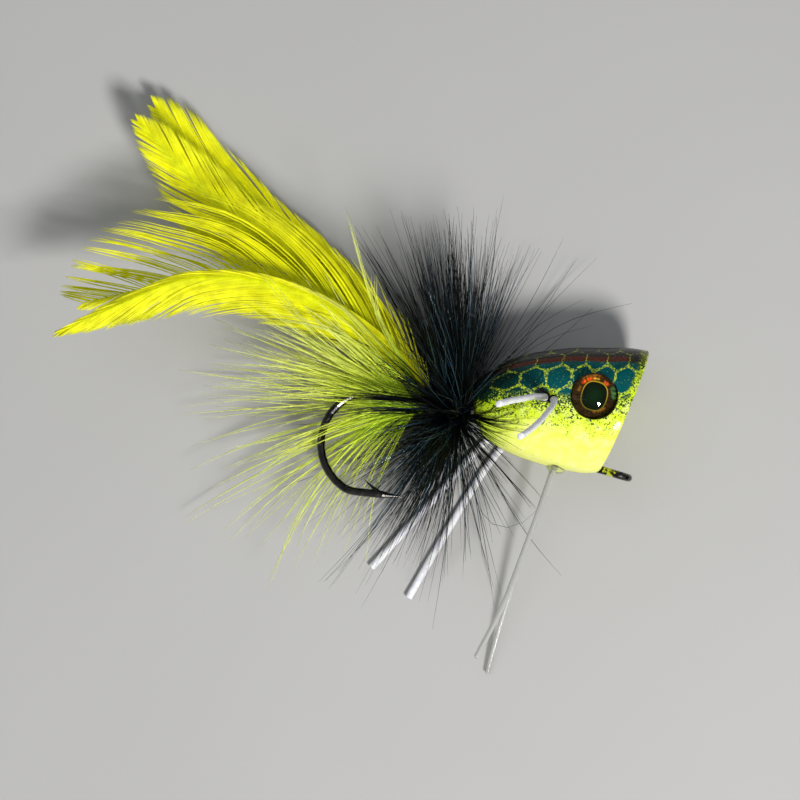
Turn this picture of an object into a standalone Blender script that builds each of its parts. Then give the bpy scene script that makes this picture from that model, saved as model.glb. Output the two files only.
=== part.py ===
"""Hand-tied bass popper, lying on its side on a flat surface.

+X runs along the hook shank towards the head, +Y towards the lure's back and +Z up, away from
the surface. The origin is on the surface, under the middle of the lure's outline.

Every dimension below is in millimetres. x and y are measured from the centre of the hook eye
and z from the surface, and place() turns them into metres in the frame above.

"far" pieces are on the side that lies on the surface and "near" pieces on the side that faces up.
"rear" and "front" tell apart the two pieces of a pair along the shank.
"""

import math

import bmesh
import bpy
import numpy as np
from mathutils import Matrix, Vector

# Frame
MM = 0.001
EYE_TO_MIDDLE = 36.5  # hook eye to the middle of the lure's outline, along the shank
SHANK_HEIGHT = 8.7  # shank axis above the surface
GAP = 0.3  # clearance between pieces that touch on the real lure
ALONG = Vector((1, 0, 0))
TO_BACK = Vector((0, 1, 0))
UP = Vector((0, 0, 1))

# Hook
WIRE_RADIUS = 0.54
RING_X = 0.35
RING_RADIUS = 1.35  # middle of the wire in the eye ring
BEND_RADIUS = 7.0
BEND_X = -32.0
REAR_SHANK_Y = 1.7  # the shank behind the head, above the line through the eye
KINK_X = -12.2  # the kink in the shank keeps the head from turning
KINK_RISE = 2.8
KINK_HALF_LENGTH = 4.2
BEND_TURN = 160  # degrees from the shank round to where the bend tightens
TIGHT_RADIUS = 3.5  # the end of the bend, before the straight run to the point
RING_START = -145  # the eye ring's open end, in degrees from the hook's front
RING_TURN = 287
POINT_TIP = (-26.1, -10.9)
BARB_TIP = (-31.8, -10.2)
BARB_ROOT = (-29.5, -11.3)
BARB_RADIUS = 0.36

# Head
FACE_BOTTOM = (-2.4, -0.7)
FACE_TOP = (-0.4, 17.1)
BELLY = [FACE_BOTTOM, (-4.6, -1.2), (-7.3, -1.5), (-10.0, -1.6), (-12.8, -1.5),
         (-15.7, -1.1), (-17.5, -0.5), (-18.9, 0.3), (-19.5, 1.2)]
BACK = [FACE_TOP, (-3.4, 16.5), (-6.8, 15.5), (-9.6, 14.7), (-12.2, 13.7),
        (-15.1, 12.3), (-17.8, 10.5), (-19.9, 8.4), (-21.2, 6.9)]
WIDTH_TO_HEIGHT = 0.92
REAR_ROUNDING = [(0.35, 0.78), (0.55, 0.42)]  # distance behind the last section, and its scale
CUP_CENTRE_Y = 8.5
CUP_HALF_HEIGHT = 7.2
CUP_HALF_WIDTH = 6.8
CUP_DEPTH = 3.2
SLOT_HALF_WIDTH = WIRE_RADIUS + GAP
SLOT_REAR = -22.5
SLOT_FRONT = 1.0
BELOW_BELLY = -4.0
GLUE_REAR = -15.6
GLUE_FRONT = -3.4

# Eyes
EYE_X = -6.2
EYE_Y = 9.0
EYE_RADIUS = 3.0
SOCKET_FLOOR = 6.6  # half the distance between the two socket floors
FOIL_THICKNESS = 0.25
DOME_EDGE = 0.2
DOME_TOP = SHANK_HEIGHT  # the far dome just reaches the surface

# Rubber legs
LEG_RADIUS = 0.5
LEG_HOLE_X = -11.7
LEG_HOLE_Y = 7.0
LEG_HOLE_RADIUS = 1.5
LEG_SPACING = 0.65  # each strand from the middle of the hole
REAR_LEG_X = LEG_HOLE_X - LEG_SPACING
FRONT_LEG_X = LEG_HOLE_X + LEG_SPACING
FAR_LEG_HEIGHT = 0.55
NEAR_LEG_START = 16.2
LEG_ROUTES = {
    "leg_near_rear": [(REAR_LEG_X, LEG_HOLE_Y, NEAR_LEG_START), (-13.9, 6.6, 21.0),
                      (-15.6, 5.8, 27.0), (-17.1, 5.1, 32.0), (-18.5, 4.3, 36.4)],
    "leg_near_front": [(FRONT_LEG_X, LEG_HOLE_Y, NEAR_LEG_START), (-10.9, 6.3, 20.0),
                       (-11.4, 5.0, 25.0), (-12.7, 3.2, 31.0), (-14.9, 1.1, 36.0)],
    "leg_far_rear": [(REAR_LEG_X, LEG_HOLE_Y, FAR_LEG_HEIGHT), (-17.6, -0.8, FAR_LEG_HEIGHT),
                     (-22.4, -10.9, FAR_LEG_HEIGHT), (-27.6, -21.6, FAR_LEG_HEIGHT)],
    "leg_far_front": [(FRONT_LEG_X, LEG_HOLE_Y, FAR_LEG_HEIGHT), (-15.5, -1.6, FAR_LEG_HEIGHT),
                      (-19.4, -15.0, FAR_LEG_HEIGHT), (-21.6, -24.1, FAR_LEG_HEIGHT)],
}

# Weed guard
PRONG_RADIUS = 0.35
PRONG_X = -8.2
PRONG_SPREAD = 1.9  # each prong from the shank's plane
PRONG_ROOT_TOP = 1.4
PRONG_ROOT_BOTTOM = -2.3
GUARD_GLUE_BOTTOM = -2.25
GUARD_GLUE_ROUNDING = 0.45
GUARD_GLUE_HALF_LENGTH = 1.7
GUARD_GLUE_HALF_WIDTH = 3.2
PRONG_START = PRONG_ROOT_BOTTOM - GAP
NEAR_PRONG_START = (PRONG_X, PRONG_START, SHANK_HEIGHT + PRONG_SPREAD)
FAR_PRONG_START = (PRONG_X, PRONG_START, SHANK_HEIGHT - PRONG_SPREAD)
PRONG_ROUTES = {
    "weed_guard_prong_near": [NEAR_PRONG_START, (-9.0, -12.3, 12.4), (-9.8, -20.4, 14.9),
                              (-11.4, -27.9, 18.0)],
    "weed_guard_prong_far": [FAR_PRONG_START, (-8.4, -11.1, 5.0), (-8.7, -21.1, 2.5), (-8.5, -30.8, 0.45)],
}

# Thread and hackle, as (x, radius) outlines around the shank
THREAD_INNER = WIRE_RADIUS + GAP
THREAD_OUTER = 1.25
OVER_THREAD = THREAD_OUTER + GAP
HEAD_WRAP = [(-21.3, THREAD_INNER), (-20.75, THREAD_INNER), (-21.0, 1.3), (-21.3, 1.35)]
THREAD_BASE = [(-26.6, THREAD_INNER), (-21.6, THREAD_INNER), (-21.6, THREAD_OUTER), (-26.6, THREAD_OUTER)]
TAIL_WRAP = [(-26.4, OVER_THREAD), (-25.1, OVER_THREAD), (-25.2, 2.1), (-25.75, 2.3), (-26.3, 2.1)]
HACKLE_FRONT = [(-21.65, OVER_THREAD), (-22.0, 4.5), (-22.65, 8.0), (-23.2, 9.6), (-23.9, 9.4),
                (-23.25, 5.8), (-22.6, OVER_THREAD)]
HACKLE_REAR = [(-22.95, OVER_THREAD), (-23.6, 5.7), (-24.3, 9.2), (-24.7, 11.2), (-25.5, 11.2),
               (-25.4, 7.5), (-25.0, 4.0), (-24.7, OVER_THREAD)]

# Tail: spine, largest half width, and which way the flat side faces
TAIL_ROOT_X = -26.9
FEATHER_HALF_THICKNESS = 0.4
FEATHERS = {
    "feather_far_outer": (
        [(TAIL_ROOT_X, 3.0, 6.1), (-30.0, 5.8, 4.0), (-36.0, 11.0, 2.6), (-46.0, 17.2, 2.4),
         (-58.0, 22.0, 2.8), (-73.7, 30.3, 3.6)], 4.8, (0, 0, 1)),
    "feather_far_inner": (
        [(TAIL_ROOT_X, 4.0, 7.7), (-30.5, 6.3, 6.6), (-38.0, 10.4, 5.2), (-50.0, 15.4, 5.2),
         (-62.0, 20.0, 6.2), (-74.4, 27.2, 8.0)], 5.0, (0, 0, 1)),
    "feather_near_inner": (
        [(TAIL_ROOT_X, 4.0, 9.7), (-31.0, 6.2, 11.6), (-38.0, 8.7, 12.9), (-50.0, 10.6, 13.4),
         (-58.0, 9.8, 13.9), (-65.0, 6.6, 14.2), (-73.8, 1.6, 14.6)], 4.5, (0, 0, 1)),
    "feather_near_outer": (
        [(TAIL_ROOT_X, 3.0, 11.3), (-31.8, 5.6, 13.7), (-39.7, 7.9, 15.6), (-46.7, 8.5, 16.5),
         (-53.3, 8.1, 17.3), (-59.0, 6.7, 18.1), (-64.5, 4.4, 19.1), (-75.0, -2.9, 21.6)],
        3.0, (0, -0.28, 1)),
}
MARABOU_HALF_THICKNESS = 1.05
MARABOU_HALF_WIDTH = 3.0
MARABOU_OFFSET = 2.3  # each plume's middle from the shank's plane

# Outlines
RING_SIDES = 40
HEAD_SECTIONS = 25
SPINE_POINTS = 16
LEAF_SIDES = 10

COLOURS = {
    "hook_wire": ((0.03, 0.03, 0.035), 0.22, 1.0),
    "head_paint": ((0.78, 0.90, 0.05), 0.12, 0.0),
    "clear_glue": ((0.86, 0.88, 0.80), 0.15, 0.0),
    "eye_foil": ((0.55, 0.25, 0.06), 0.30, 0.8),
    "eye_dome": ((0.80, 0.75, 0.60), 0.04, 0.0),
    "leg_rubber": ((0.86, 0.85, 0.90), 0.55, 0.0),
    "guard_mono": ((0.82, 0.84, 0.80), 0.10, 0.0),
    "tying_thread": ((0.04, 0.05, 0.04), 0.60, 0.0),
    "hackle_black": ((0.02, 0.025, 0.03), 0.45, 0.0),
    "feather_yellow": ((0.90, 0.86, 0.02), 0.60, 0.0),
    "marabou_lime": ((0.62, 0.82, 0.12), 0.75, 0.0),
}


def place(x, y, z=SHANK_HEIGHT):
    """A point given from the hook eye and the surface, in the lure's frame."""
    return Vector(((x + EYE_TO_MIDDLE) * MM, y * MM, z * MM))


def smooth_path(points, count):
    """Evenly spread points on a smooth curve through the given ones."""
    known = np.array(points, float)
    steps = np.linalg.norm(np.diff(known, axis=0), axis=1)
    at = np.concatenate([[0.0], np.cumsum(steps)])
    slopes = np.gradient(known, at, axis=0)
    result = []
    for s in np.linspace(0.0, at[-1], count):
        i = min(int(np.searchsorted(at, s, side="right")) - 1, len(steps) - 1)
        span = at[i + 1] - at[i]
        t = (s - at[i]) / span
        result.append(
            (2 * t**3 - 3 * t**2 + 1) * known[i]
            + (t**3 - 2 * t**2 + t) * span * slopes[i]
            + (3 * t**2 - 2 * t**3) * known[i + 1]
            + (t**3 - t**2) * span * slopes[i + 1]
        )
    return [tuple(p) for p in result]


def material(name):
    """The Principled material of one finish, made once."""
    found = bpy.data.materials.get(name)
    if found:
        return found
    colour, roughness, metallic = COLOURS[name]
    made = bpy.data.materials.new(name)
    made.use_nodes = True
    shader = made.node_tree.nodes["Principled BSDF"]
    shader.inputs["Base Color"].default_value = (*colour, 1.0)
    shader.inputs["Roughness"].default_value = roughness
    shader.inputs["Metallic"].default_value = metallic
    made.diffuse_color = (*colour, 1.0)
    return made


def add_object(name, data, finish=None, pivot=None):
    """Link a new object. A finish gives it a material, and none makes it a hidden cutter."""
    made = bpy.data.objects.new(name, data)
    bpy.context.scene.collection.objects.link(made)
    if finish:
        data.materials.append(material(finish))
    else:
        made.hide_render = True
        made.display_type = "WIRE"
    if pivot:
        made.location = pivot
    return made


def mesh_object(name, bm, finish=None, pivot=None, sharp=40):
    """An object from a bmesh, shaded smooth, with its origin at the pivot."""
    bmesh.ops.recalc_face_normals(bm, faces=bm.faces)
    if pivot:
        bmesh.ops.translate(bm, vec=-pivot, verts=bm.verts)
    data = bpy.data.meshes.new(name)
    bm.to_mesh(data)
    bm.free()
    data.shade_smooth()
    data.set_sharp_from_angle(angle=math.radians(sharp))
    return add_object(name, data, finish, pivot)


def ring_points(centre, half_a, half_b, sides):
    """An ellipse around centre, with half_a and half_b as its half axes."""
    turns = [2 * math.pi * i / sides for i in range(sides)]
    return [centre + half_a * math.cos(t) + half_b * math.sin(t) for t in turns]


def bridge(bm, first, second):
    """Quads between two rings of the same size."""
    count = len(first)
    for i in range(count):
        j = (i + 1) % count
        bm.faces.new((first[i], first[j], second[j], second[i]))


def loft(rings):
    """A closed bmesh through rings of points, with flat ends."""
    bm = bmesh.new()
    loops = [[bm.verts.new(p) for p in ring] for ring in rings]
    for first, second in zip(loops, loops[1:]):
        bridge(bm, first, second)
    bm.faces.new(loops[0])
    bm.faces.new(loops[-1])
    return bm


def turned(outline, axis, centre, sides=RING_SIDES):
    """A closed bmesh of an outline of (distance along axis, radius) points turned about axis.

    An outline that starts and ends on the axis makes a solid, and any other makes a ring.
    """
    bm = bmesh.new()
    side = axis.orthogonal().normalized()
    other = axis.cross(side)
    loops = []
    for distance, radius in outline:
        middle = centre + axis * distance * MM
        if radius > 0:
            points = ring_points(middle, side * radius * MM, other * radius * MM, sides)
            loops.append([bm.verts.new(p) for p in points])
        else:
            loops.append([bm.verts.new(middle)])
    pairs = list(zip(loops, loops[1:]))
    if outline[0][1] > 0:
        pairs.append((loops[-1], loops[0]))
    for first, second in pairs:
        if len(first) > 1 and len(second) > 1:
            bridge(bm, first, second)
        else:
            tip, ring = (first, second) if len(first) == 1 else (second, first)
            for i in range(sides):
                bm.faces.new((tip[0], ring[i], ring[(i + 1) % sides]))
    return bm


def around_shank(name, outline, finish):
    """A ring-shaped piece turned about the shank behind the head."""
    return mesh_object(name, turned(outline, ALONG, place(0, REAR_SHANK_Y)), finish)


def wire_curve(name, points, radius, radii=None, resolution=3):
    """A round wire or strand as a curve with filled ends."""
    data = bpy.data.curves.new(name, "CURVE")
    data.dimensions = "3D"
    data.bevel_depth = radius * MM
    data.bevel_resolution = resolution
    data.use_fill_caps = True
    spline = data.splines.new("POLY")
    spline.points.add(len(points) - 1)
    for i, p in enumerate(points):
        spline.points[i].co = (*p, 1.0)
        spline.points[i].radius = radii[i] if radii else 1.0
    return data


def strand(name, route, radius, finish, count=SPINE_POINTS, resolution=2):
    """A flexible strand along a smooth route, with its origin where it starts."""
    pivot = place(*route[0])
    points = [place(*p) - pivot for p in smooth_path(route, count)]
    return add_object(name, wire_curve(name, points, radius, resolution=resolution), finish, pivot)


def boolean(target, cutter, operation="DIFFERENCE"):
    """Cut, join or trim a piece with another."""
    cut = target.modifiers.new(cutter.name, "BOOLEAN")
    cut.operation = operation
    cut.object = cutter


def box_cutter(name, low, high):
    """A hidden box between two corners."""
    size = Matrix.Diagonal((*(high - low), 1.0))
    bm = bmesh.new()
    bmesh.ops.create_cube(bm, size=1.0, matrix=Matrix.Translation((low + high) / 2) @ size)
    return mesh_object(name, bm)


def shank_rise(x):
    """Height of the shank's middle above the eye's line: level, over the kink, level again."""
    offset = (x - KINK_X) / KINK_HALF_LENGTH
    level = 0.0 if offset > 0 else REAR_SHANK_Y
    hump = 0.5 * (1 + math.cos(math.pi * offset)) if abs(offset) < 1 else 0.0
    return level + (KINK_RISE - level) * hump


def hook_path():
    """The middle of the wire from the open end of the eye ring to the point, with its relative radius."""
    ring = []
    for i in range(19):
        turn = math.radians(RING_START + RING_TURN * i / 18)
        z = SHANK_HEIGHT + RING_RADIUS * math.sin(turn)
        ring.append(place(RING_X + RING_RADIUS * math.cos(turn), 0, z))
    neck = [place(-1.15, 0, SHANK_HEIGHT + 0.5), place(-1.75, 0, SHANK_HEIGHT + 0.14), place(-2.4, 0)]
    shank = [place(x, shank_rise(x)) for x in np.linspace(-4.0, KINK_X - KINK_HALF_LENGTH - 1.0, 17)]
    shank += [place(x, REAR_SHANK_Y) for x in (-22.0, -28.0)]
    bend = []
    for i in range(17):
        turn = math.radians(90 + BEND_TURN * i / 16)
        y = REAR_SHANK_Y + BEND_RADIUS * (math.sin(turn) - 1)
        bend.append(place(BEND_X + BEND_RADIUS * math.cos(turn), y))
    # The tighter arc runs on until the wire heads straight for the point
    start = math.radians(90 + BEND_TURN)
    centre_x = BEND_X + (BEND_RADIUS - TIGHT_RADIUS) * math.cos(start)
    centre_y = REAR_SHANK_Y - BEND_RADIUS + (BEND_RADIUS - TIGHT_RADIUS) * math.sin(start)
    away_x, away_y = POINT_TIP[0] - centre_x, POINT_TIP[1] - centre_y
    end = math.atan2(away_y, away_x) - math.acos(TIGHT_RADIUS / math.hypot(away_x, away_y)) + 2 * math.pi
    for i in range(1, 5):
        turn = start + (end - start) * i / 4
        bend.append(place(centre_x + TIGHT_RADIUS * math.cos(turn), centre_y + TIGHT_RADIUS * math.sin(turn)))
    tip = place(*POINT_TIP)
    spear = []
    spear_radii = []
    for t in (0.3, 0.55, 0.75, 0.9, 1.0):
        spear.append(bend[-1].lerp(tip, t))
        spear_radii.append(min(1.0, 0.06 + 1.9 * (1 - t)))
    points = ring + neck + shank + bend + spear
    radii = [0.96] * len(ring) + [1.0] * (len(neck) + len(shank) + len(bend)) + spear_radii
    return points, radii


def make_hook():
    """One bent wire: ringed eye, kinked shank, round bend, point and barb."""
    points, radii = hook_path()
    guide = bpy.data.objects.new("hook_guide", wire_curve("hook_guide", points, WIRE_RADIUS, radii, 4))
    data = bpy.data.meshes.new_from_object(guide)
    bpy.data.objects.remove(guide)
    data.materials.clear()
    data.shade_smooth()
    data.set_sharp_from_angle(angle=math.radians(50))
    hook = add_object("hook", data, "hook_wire")
    root = place(*BARB_ROOT)
    tip = place(*BARB_TIP)
    length = (tip - root).length
    turn = UP.rotation_difference(tip - root).to_matrix().to_4x4()
    bm = bmesh.new()
    bmesh.ops.create_cone(
        bm, cap_ends=True, segments=12, radius1=BARB_RADIUS * MM, radius2=0.03 * MM, depth=length,
        matrix=Matrix.Translation((root + tip) / 2) @ turn,
    )
    boolean(hook, mesh_object("barb_guide", bm), "UNION")
    return hook


def head_rings(clearance=0.0):
    """Elliptical sections of the head from the face back, grown by a clearance."""
    belly = smooth_path(BELLY, HEAD_SECTIONS)
    back = smooth_path(BACK, HEAD_SECTIONS)
    rings = []
    for low, high in zip(belly, back):
        low = Vector((*low, 0))
        high = Vector((*high, 0))
        rings.append(((low + high) / 2, (high - low) / 2, 1.0))
    last_middle, last_half, _ = rings[-1]
    backwards = Vector((last_half.y, -last_half.x, 0)).normalized() * -1
    for distance, scale in REAR_ROUNDING:
        rings.append((last_middle + backwards * distance, last_half, scale))
    if clearance:
        rings = [(m, h, s * (1 + clearance / h.length)) for m, h, s in rings]
    result = []
    for middle, half, scale in rings:
        wide = UP * half.length * WIDTH_TO_HEIGHT * scale * MM
        result.append(ring_points(place(middle.x, middle.y), half * scale * MM, wide, RING_SIDES + 8))
    return result


def half_width_at(x, y):
    """Half the head's width, across the lure, at a point of its side."""
    top = float(np.interp(-x, [-p[0] for p in BACK], [p[1] for p in BACK]))
    bottom = float(np.interp(-x, [-p[0] for p in BELLY], [p[1] for p in BELLY]))
    half = (top - bottom) / 2
    offset = (y - (top + bottom) / 2) / half
    return half * WIDTH_TO_HEIGHT * math.sqrt(1 - offset**2)


def cup_cutter():
    """The hollow in the face, as a flattened ball set square to the face."""
    lean = math.atan2(FACE_TOP[0] - FACE_BOTTOM[0], FACE_TOP[1] - FACE_BOTTOM[1])
    face_x = FACE_BOTTOM[0] + (CUP_CENTRE_Y - FACE_BOTTOM[1]) * math.tan(lean)
    size = Matrix.Diagonal((CUP_DEPTH * MM, CUP_HALF_HEIGHT * MM, CUP_HALF_WIDTH * MM, 1.0))
    bm = bmesh.new()
    bmesh.ops.create_uvsphere(
        bm, u_segments=36, v_segments=20, radius=1.0,
        matrix=Matrix.Translation(place(face_x, CUP_CENTRE_Y)) @ Matrix.Rotation(-lean, 4, "Z") @ size,
    )
    return mesh_object("cup_cutter", bm)


def slot_outline(offset, rear, front):
    """A flat outline from below the belly up to an offset from the shank's middle."""
    upper = [(x, shank_rise(x) + offset) for x in np.linspace(rear, front, 31)]
    return upper + [(front, BELOW_BELLY), (rear, BELOW_BELLY)]


def slab(outline, half_width):
    """A closed bmesh of a flat outline, as thick as twice half_width across the lure."""
    sides = [SHANK_HEIGHT - half_width, SHANK_HEIGHT + half_width]
    return loft([[place(x, y, z) for x, y in outline] for z in sides])


def peg(name, x, y, low, high, radius, finish=None, sides=28):
    """A round bar or hole across the lure."""
    outline = [(low, 0), (low, radius), (high, radius), (high, 0)]
    return mesh_object(name, turned(outline, UP, place(x, y, 0), sides), finish)


def prong_root(name, z, radius, top, bottom, finish=None):
    """A round bar or hole up into the belly."""
    outline = [(bottom, 0), (bottom, radius), (top, radius), (top, 0)]
    return mesh_object(name, turned(outline, TO_BACK, place(PRONG_X, 0, z), 16), finish)


def make_head():
    """The hard head: cupped face, shank slot, eye sockets, leg hole and weed guard holes."""
    head = mesh_object("popper_body", loft(head_rings()), "head_paint", sharp=50)
    boolean(head, cup_cutter())
    slot = slot_outline(SLOT_HALF_WIDTH, SLOT_REAR, SLOT_FRONT)
    boolean(head, mesh_object("slot_cutter", slab(slot, SLOT_HALF_WIDTH)))
    socket = EYE_RADIUS + GAP
    for side, name in ((1, "near"), (-1, "far")):
        ends = sorted((SHANK_HEIGHT + side * SOCKET_FLOOR, SHANK_HEIGHT + side * 12.0))
        boolean(head, peg(f"socket_cutter_{name}", EYE_X, EYE_Y, *ends, socket, sides=44))
    boolean(head, peg("leg_hole_cutter", LEG_HOLE_X, LEG_HOLE_Y, -3.0, 20.0, LEG_HOLE_RADIUS))
    for side, name in ((1, "near"), (-1, "far")):
        z = SHANK_HEIGHT + side * PRONG_SPREAD
        hole = prong_root(f"guard_hole_{name}", z, PRONG_RADIUS + GAP, PRONG_ROOT_TOP + GAP, BELOW_BELLY)
        boolean(head, hole)
    return head


def make_slot_glue():
    """The filler that closes the slot under the shank, flush with the belly."""
    filler = slot_outline(-SLOT_HALF_WIDTH, GLUE_REAR, GLUE_FRONT)
    glue = mesh_object("slot_glue", slab(filler, SLOT_HALF_WIDTH - GAP), "clear_glue")
    boolean(glue, mesh_object("belly_guide", loft(head_rings())), "INTERSECT")


def make_eyes():
    """A printed foil disc in each socket, under a clear dome."""
    foil_base = SOCKET_FLOOR + GAP
    foil_top = foil_base + FOIL_THICKNESS
    dome_base = foil_top + GAP
    rise = DOME_TOP - dome_base - DOME_EDGE
    ball = (EYE_RADIUS**2 + rise**2) / (2 * rise)
    for side, name in ((1, "near"), (-1, "far")):
        axis = UP * side
        centre = place(EYE_X, EYE_Y)
        foil = [(foil_base, 0), (foil_base, EYE_RADIUS), (foil_top, EYE_RADIUS), (foil_top, 0)]
        mesh_object(f"eye_foil_{name}", turned(foil, axis, centre), "eye_foil")
        dome = [(dome_base, 0), (dome_base, EYE_RADIUS)]
        for i in range(6):
            radius = EYE_RADIUS * math.cos(math.radians(15 * i))
            dome.append((DOME_TOP - ball + math.sqrt(ball**2 - radius**2), radius))
        dome.append((DOME_TOP, 0))
        mesh_object(f"eye_dome_{name}", turned(dome, axis, centre), "eye_dome", sharp=60)


def make_legs():
    """Two rubber strands through the head, each with a free leg on either side."""
    half_width = half_width_at(LEG_HOLE_X, LEG_HOLE_Y)
    low = FAR_LEG_HEIGHT + LEG_RADIUS + GAP
    high = min(SHANK_HEIGHT + half_width + GAP, NEAR_LEG_START - GAP)
    for x, name in ((REAR_LEG_X, "rear"), (FRONT_LEG_X, "front")):
        peg(f"leg_strand_{name}", x, LEG_HOLE_Y, low, high, LEG_RADIUS, "leg_rubber", 12)
    for name, route in LEG_ROUTES.items():
        strand(name, route, LEG_RADIUS, "leg_rubber")


def make_weed_guard():
    """Two clear prongs glued into the belly."""
    edge = GUARD_GLUE_BOTTOM + GUARD_GLUE_ROUNDING
    outline = [(GUARD_GLUE_BOTTOM, 0), (GUARD_GLUE_BOTTOM, 0.86), (edge, 1.0), (1.0, 1.0), (1.0, 0)]
    bm = turned(outline, TO_BACK, Vector((0, 0, 0)))
    size = Matrix.Diagonal((GUARD_GLUE_HALF_LENGTH, 1.0, GUARD_GLUE_HALF_WIDTH, 1.0))
    bm.transform(Matrix.Translation(place(PRONG_X, 0)) @ size)
    glue = mesh_object("weed_guard_glue", bm, "clear_glue")
    boolean(glue, mesh_object("belly_clearance", loft(head_rings(GAP))))
    for side, name in ((1, "near"), (-1, "far")):
        z = SHANK_HEIGHT + side * PRONG_SPREAD
        boolean(glue, prong_root(f"glue_hole_{name}", z, PRONG_RADIUS + GAP, 3.0, BELOW_BELLY))
        root = f"weed_guard_root_{name}"
        prong_root(root, z, PRONG_RADIUS, PRONG_ROOT_TOP, PRONG_ROOT_BOTTOM, "guard_mono")
    for name, route in PRONG_ROUTES.items():
        strand(name, route, PRONG_RADIUS, "guard_mono")


def make_dressing():
    """Thread wraps and the two wound hackles, which the surface presses flat on the far side."""
    around_shank("thread_base", THREAD_BASE, "tying_thread")
    around_shank("head_wrap", HEAD_WRAP, "tying_thread")
    around_shank("tail_wrap", TAIL_WRAP, "tying_thread")
    below_surface = box_cutter("surface_cutter", place(-40, -20, -10), place(-10, 20, 0))
    for name, outline in (("hackle_front", HACKLE_FRONT), ("hackle_rear", HACKLE_REAR)):
        boolean(around_shank(name, outline, "hackle_black"), below_surface)


def leaf_width(t):
    """A feather's relative half width from its root, 0, to its tip, 1."""
    opening = min(t / 0.4, 1.0)
    closing = max((t - 0.6) / 0.4, 0.0)
    return opening**2 * (3 - 2 * opening) * (1 - 0.88 * closing**1.6)


def leaf(name, spine, half_width, half_thickness, facing, finish, pivot):
    """A flat, pointed solid along a curved spine."""
    points = [place(*p) for p in smooth_path(spine, SPINE_POINTS)]
    facing = Vector(facing).normalized()
    rings = []
    for i, p in enumerate(points):
        forward = (points[min(i + 1, len(points) - 1)] - points[max(i - 1, 0)]).normalized()
        across = facing.cross(forward).normalized()
        thick = forward.cross(across).normalized()
        t = i / (len(points) - 1)
        width = max(half_width * leaf_width(t), half_thickness)
        depth = half_thickness * (1 - 0.45 * max((t - 0.6) / 0.4, 0.0))
        rings.append(ring_points(p, across * width * MM, thick * depth * MM, LEAF_SIDES))
    return mesh_object(name, loft(rings), finish, pivot, sharp=50)


def make_tail():
    """Two pairs of saddle feathers outside two marabou plumes."""
    pivot = place(TAIL_ROOT_X, REAR_SHANK_Y + 1.8)
    for name, (spine, half_width, facing) in FEATHERS.items():
        leaf(name, spine, half_width, FEATHER_HALF_THICKNESS, facing, "feather_yellow", pivot)
    pivot = place(TAIL_ROOT_X, REAR_SHANK_Y)
    for side, name in ((1, "near"), (-1, "far")):
        z = SHANK_HEIGHT + side * MARABOU_OFFSET
        spine = [(TAIL_ROOT_X, 1.1, z - side * 0.3), (-31.0, 1.8, z), (-40.0, 2.2, z), (-51.0, 0.6, z)]
        name = f"marabou_{name}"
        leaf(name, spine, MARABOU_HALF_WIDTH, MARABOU_HALF_THICKNESS, UP, "marabou_lime", pivot)


def main():
    for old in list(bpy.data.objects):
        bpy.data.objects.remove(old)
    make_hook()
    make_head()
    make_slot_glue()
    make_eyes()
    make_legs()
    make_weed_guard()
    make_dressing()
    make_tail()


main()
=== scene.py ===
"""Looks for the hand-tied popper: fibres, paint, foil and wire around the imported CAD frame.

Points are in millimetres: x and y from the centre of the hook eye, z from the surface, as the CAD
part has them. place() turns them into metres in the row frame.
"""

import math

import bmesh
import bpy
import numpy as np
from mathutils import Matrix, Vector


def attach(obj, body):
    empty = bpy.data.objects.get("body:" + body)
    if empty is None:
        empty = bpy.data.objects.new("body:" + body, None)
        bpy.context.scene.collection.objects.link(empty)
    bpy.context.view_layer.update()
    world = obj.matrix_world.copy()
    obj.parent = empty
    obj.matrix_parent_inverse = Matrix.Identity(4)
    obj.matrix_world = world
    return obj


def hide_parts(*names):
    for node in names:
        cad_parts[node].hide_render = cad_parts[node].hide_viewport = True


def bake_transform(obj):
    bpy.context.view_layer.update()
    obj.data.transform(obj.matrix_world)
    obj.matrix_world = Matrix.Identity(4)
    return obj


MM = 0.001
# No fibre comes closer to the surface than this
LOWEST = 0.02
EYE_TO_MIDDLE = 36.5
SHANK_HEIGHT = 8.7

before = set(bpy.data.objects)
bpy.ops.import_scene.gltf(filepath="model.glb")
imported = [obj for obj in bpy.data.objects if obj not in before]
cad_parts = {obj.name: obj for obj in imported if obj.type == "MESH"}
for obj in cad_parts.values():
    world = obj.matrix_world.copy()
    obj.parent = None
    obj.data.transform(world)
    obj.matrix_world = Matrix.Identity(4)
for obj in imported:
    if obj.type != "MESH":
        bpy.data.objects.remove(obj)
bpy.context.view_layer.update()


# Points and shapes


def place(points):
    """Points given from the hook eye and the surface, in metres in the row frame."""
    return (np.asarray(points, float) + (EYE_TO_MIDDLE, 0.0, 0.0)) * MM


def unit(vectors):
    """Each vector at length 1."""
    return vectors / np.maximum(np.linalg.norm(vectors, axis=-1, keepdims=True), 1e-9)


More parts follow.
